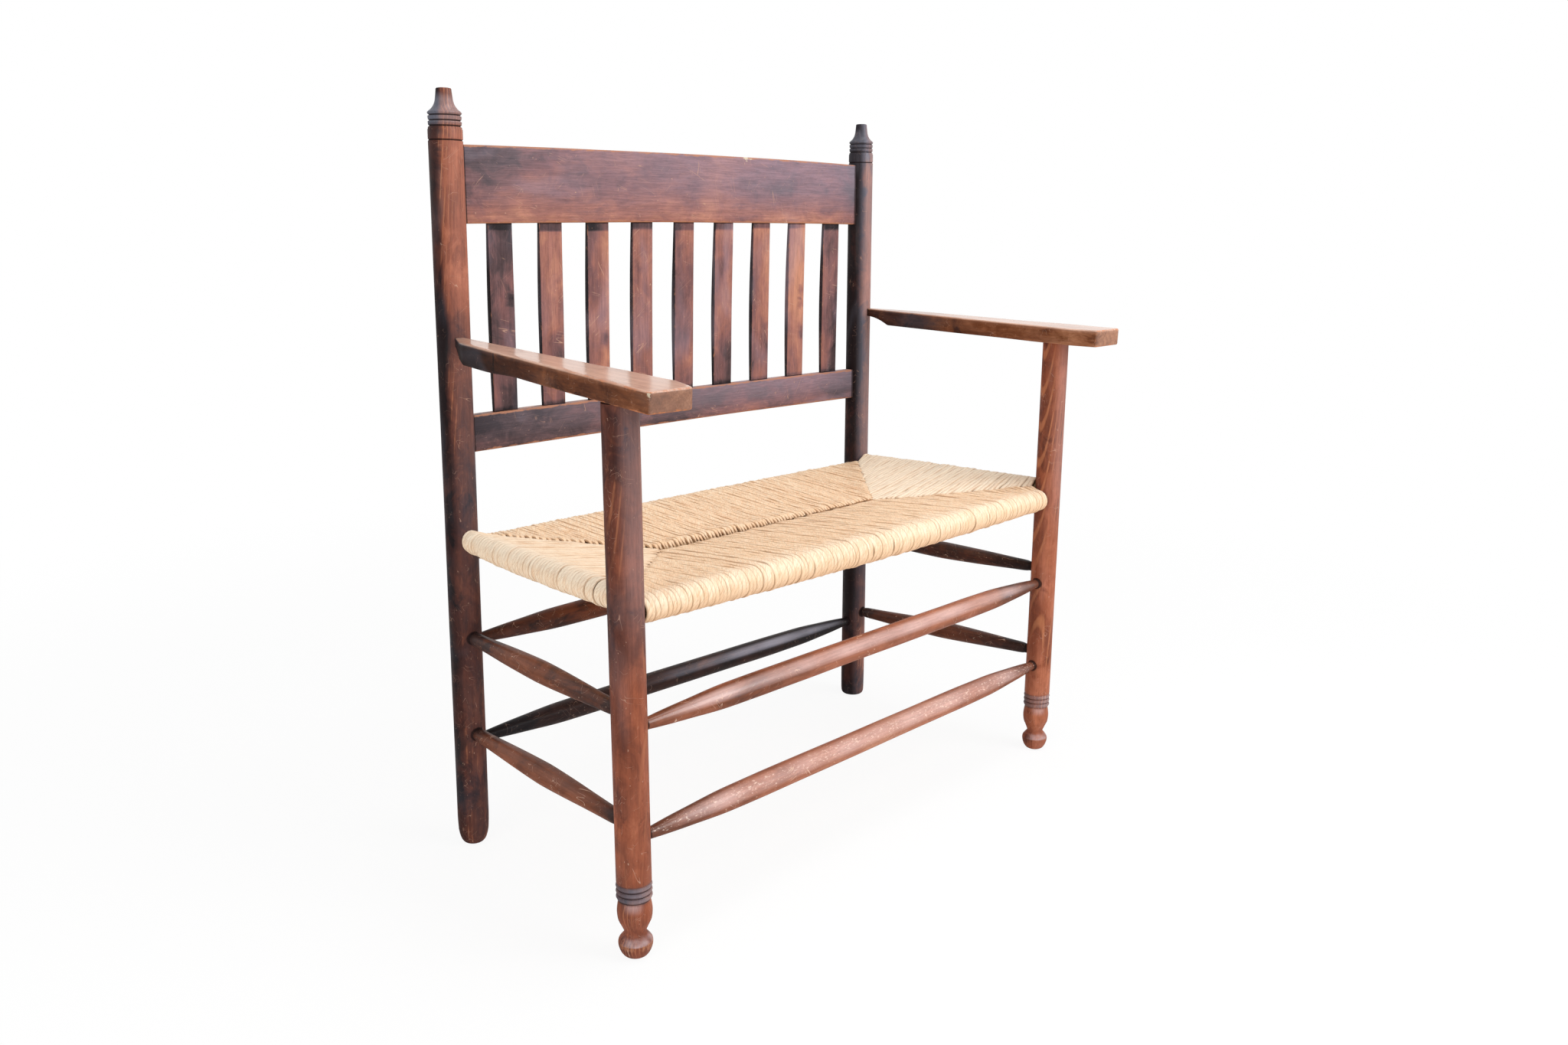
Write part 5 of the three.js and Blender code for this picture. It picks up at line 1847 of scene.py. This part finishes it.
        # Painted highlight on top of the roll, and painted shade low on it, over the field's paleness.
        worn = ease(turn, -0.25, 0.1) * (1 - ease(turn, 0.25, 0.5))
        tan_and_shade = ease(turn, 0.45, 0.75)
        strength = 1.0 if side.name == "front" else 0.4
        return side.pale + strength * (worn - 0.8 * tan_and_shade)

    def build_packing(self, material: Material) -> None:
        """Make and dress the packing, a slack pad just under the strands of every field."""
        for side in self.sides:
            start, along, inward, upward, length = self.frame_of(side)
            first = SKELETON.post_radius + 1
            places = stations(first, length - first, 16)
            line_of = {place: self.path(side, place, self.packing_depth, 0.0) for place in places}
            count = len(next(iter(line_of.values())))
            pad = bmesh.new()
            bmesh.ops.create_grid(pad, x_segments=len(places) - 1, y_segments=count, size=1.0)
            for vert in pad.verts:
                place = places[round((vert.co.x + 1) / 2 * (len(places) - 1))]
                across, height, _, _ = line_of[place][round((vert.co.y + 1) / 2 * count) % count]
                vert.co = start + along * place + inward * across + upward * height
            bmesh.ops.remove_doubles(pad, verts=pad.verts, dist=1e-3)
            bmesh.ops.holes_fill(pad, edges=[e for e in pad.edges if e.is_boundary], sides=0)
            face_out(pad)
            dress(to_object(pad, f"seat_packing_{side.name}", Matrix.Identity(4)), material, Slot.RUSH)

    def build(self, rush: Material, packing: Material) -> None:
        """Make and dress the whole seat."""
        for side in self.sides:
            self.build_field(side, rush)
        self.build_packing(packing)


# The room


@dataclass
class Studio:
    """A white floor, a soft key and fill, and the camera."""

    camera_at: Vector = field(default_factory=lambda: Vector((-1.3020, -1.1937, 0.8481)))
    yaw: float = 47.25
    pitch: float = 13.84
    roll: float = 1.18
    lens: float = 29.96
    sensor: float = 36.0
    world_level: float = 0.4
    key_power: float = 50.0
    top_power: float = 25.5
    side_power: float = 15.5
    shadow_share: float = 0.09
    shadow_reach: tuple[float, float] = (0.7, 2.2)
    floor_reach: float = 30.0
    white: tuple[float, float, float, float] = (1, 1, 1, 1)

    def camera(self) -> None:
        """Stand the camera where the photograph was taken."""
        yaw, pitch, roll = (math.radians(v) for v in (self.yaw, self.pitch, self.roll))
        ahead = Vector((math.sin(yaw) * math.cos(pitch), math.cos(yaw) * math.cos(pitch), -math.sin(pitch)))
        right = Vector((math.cos(yaw), -math.sin(yaw), 0))
        top = right.cross(ahead)
        across = right * math.cos(roll) + top * math.sin(roll)
        upward = top * math.cos(roll) - right * math.sin(roll)
        data = bpy.data.cameras.new("camera")
        data.lens = self.lens
        data.sensor_width = self.sensor
        camera = put_in_scene("camera", data)
        camera.matrix_world = placed(self.camera_at, across, upward, -ahead)
        bpy.context.scene.camera = camera

    def area(self, name: str, spot: Vector, aim: Vector, size: float, power: float) -> None:
        """Hang a square soft light that faces a point."""
        data = bpy.data.lights.new(name, "AREA")
        data.size = size
        data.energy = power
        lamp = put_in_scene(name, data)
        facing = (aim - spot).to_track_quat("-Z", "Y")
        lamp.matrix_world = Matrix.Translation(spot) @ facing.to_matrix().to_4x4()

    def world(self) -> None:
        """Light the room evenly, and show it white to the camera and in reflections."""
        world = bpy.data.worlds.new("studio_white")
        world.use_nodes = True
        bpy.context.scene.world = world
        b = NodeBench(world.node_tree)
        camera, glossy, through = (b.add("LightPath", {}, f"Is {kind} Ray")
                                   for kind in ("Camera", "Glossy", "Transmission"))
        seen = camera.at_least(glossy.at_least(through))
        b.fill(world.node_tree.nodes["Background"], {
            "Color": self.white, "Strength": seen * (1 - self.world_level) + self.world_level})

    def floor(self) -> None:
        """Lay a white floor that keeps a soft shadow."""
        shape = bmesh.new()
        bmesh.ops.create_grid(shape, x_segments=1, y_segments=1, size=self.floor_reach)
        mesh = bpy.data.meshes.new("floor")
        shape.to_mesh(mesh)
        shape.free()
        floor = put_in_scene("floor", mesh)
        material, b, shader = blank_material("white_floor")
        b.fill(shader, {"Base Color": self.white, "Roughness": 0.9, "Specular IOR Level": 0.0})
        glow = b.add("Emission", {"Color": self.white, "Strength": 1.0})
        away = b.add("VectorMath", {0: b.add("TexCoord", {}, "Object")}, "Value", operation="LENGTH")
        plain = away.step(*self.shadow_reach, 1 - self.shadow_share, 1.0)
        share = b.add("LightPath", {}, "Is Camera Ray") * plain
        b.fill(material.node_tree.nodes["Material Output"], {
            "Surface": b.add("MixShader", {0: share, 1: Signal(b, shader.outputs[0]), 2: glow})})
        mesh.materials.append(material)

    def build(self) -> None:
        """Set up the whole room."""
        self.camera()
        self.area("key", Vector((1.1, -2.5, 1.9)), Vector((0, 0, 0.45)), 1.8, self.key_power)
        self.area("top", Vector((0.3, -0.4, 2.7)), Vector((0, 0, 0.4)), 1.3, self.top_power)
        self.area("side", Vector((-2.3, -0.5, 1.2)), Vector((0, 0, 0.4)), 1.3, self.side_power)
        self.world()
        self.floor()
        bpy.context.scene.view_settings.view_transform = "Standard"


POST_FINISH = AgedWood("old_stain_on_posts", (
    (0.0, (0.016, 0.01, 0.011)), (0.26, (0.07, 0.026, 0.021)), (0.5, (0.162, 0.052, 0.033)),
    (0.76, (0.325, 0.1, 0.053)), (1.0, (0.49, 0.168, 0.09))), gloss=0.05, flame=0.65, ring_depth=0.16,
    mottle=0.42, bloom=(0.62, 0.48, 0.49), sheen_haze_amount=0.07, scratch_amount=0.75)
BACK_FINISH = AgedWood("old_stain_on_back", (
    (0.0, (0.02, 0.015, 0.018)), (0.26, (0.1, 0.062, 0.066)), (0.48, (0.225, 0.111, 0.11)),
    (0.74, (0.37, 0.162, 0.128)), (1.0, (0.56, 0.26, 0.17))), mottle=0.44, streak=0.12, blotch=0.12,
    gloss=0.1, fibre_scale=620.0, fibre_depth=0.12, ring_depth=0.2, bloom=(0.34, 0.26, 0.325),
    dark_sheen_and_bloom=(0.32, 0.27, 0.33), sheen_haze_amount=0.32, scratch_amount=0.8)
ARM_FINISH = AgedWood("honey_stain_on_arms", (
    (0.0, (0.02, 0.01, 0.008)), (0.26, (0.07, 0.025, 0.014)), (0.5, (0.2, 0.07, 0.03)),
    (0.76, (0.4, 0.175, 0.09)), (1.0, (0.64, 0.35, 0.23))), roughness=0.42, gloss=0.04, polish=0.08,
    polish_roughness=0.14, edge=(0.58, 0.2, 0.08), bloom=(0.74, 0.54, 0.45), sheen_haze_amount=0.08, mottle=0.42)
STRETCHER_FINISH = AgedWood("old_stain_on_stretchers", (
    (0.0, (0.014, 0.011, 0.012)), (0.24, (0.055, 0.028, 0.024)), (0.48, (0.2, 0.066, 0.033)),
    (0.74, (0.42, 0.15, 0.08)), (1.0, (0.61, 0.28, 0.17))), roughness=0.38, gloss=0.06, polish=0.06,
    mottle=0.26, blotch=0.12, bloom=(0.8, 0.55, 0.51), sheen_haze_amount=0.02, bare=(0.95, 0.74, 0.62),
    scratch=(0.8, 0.55, 0.42), scratch_amount=0.8)


def main() -> None:
    """Build every sub-assembly in order."""
    logging.basicConfig(level=logging.INFO, format="%(name)s: %(message)s")
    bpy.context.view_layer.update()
    effects = Effects()
    stretchers = StretcherSet()
    Studio().build()
    PostSet().build(POST_FINISH.material(effects), stretchers.joints())
    stretchers.build(STRETCHER_FINISH.material(effects))
    BackFrame().build(BACK_FINISH.material(effects))
    arm_wood = ARM_FINISH.material(effects)
    Arm(Side.LEFT, 664, 68).build(SKELETON.rear_left, SKELETON.front_left, arm_wood)
    Arm(Side.RIGHT, 675, 74).build(SKELETON.rear_right, SKELETON.front_right, arm_wood)
    RushSeat().build(TwistedRush().material(effects), LoosePacking().material())
    rail_wood = PlainRailWood().material(effects)
    for place in ("front", "rear", "left", "right"):
        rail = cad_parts[f"seat_rail_{place}"]
        for slot in rail.material_slots:
            slot.material = rail_wood
        log.info("%s keeps its solid", rail.name)


if __name__ == "__main__":
    main()
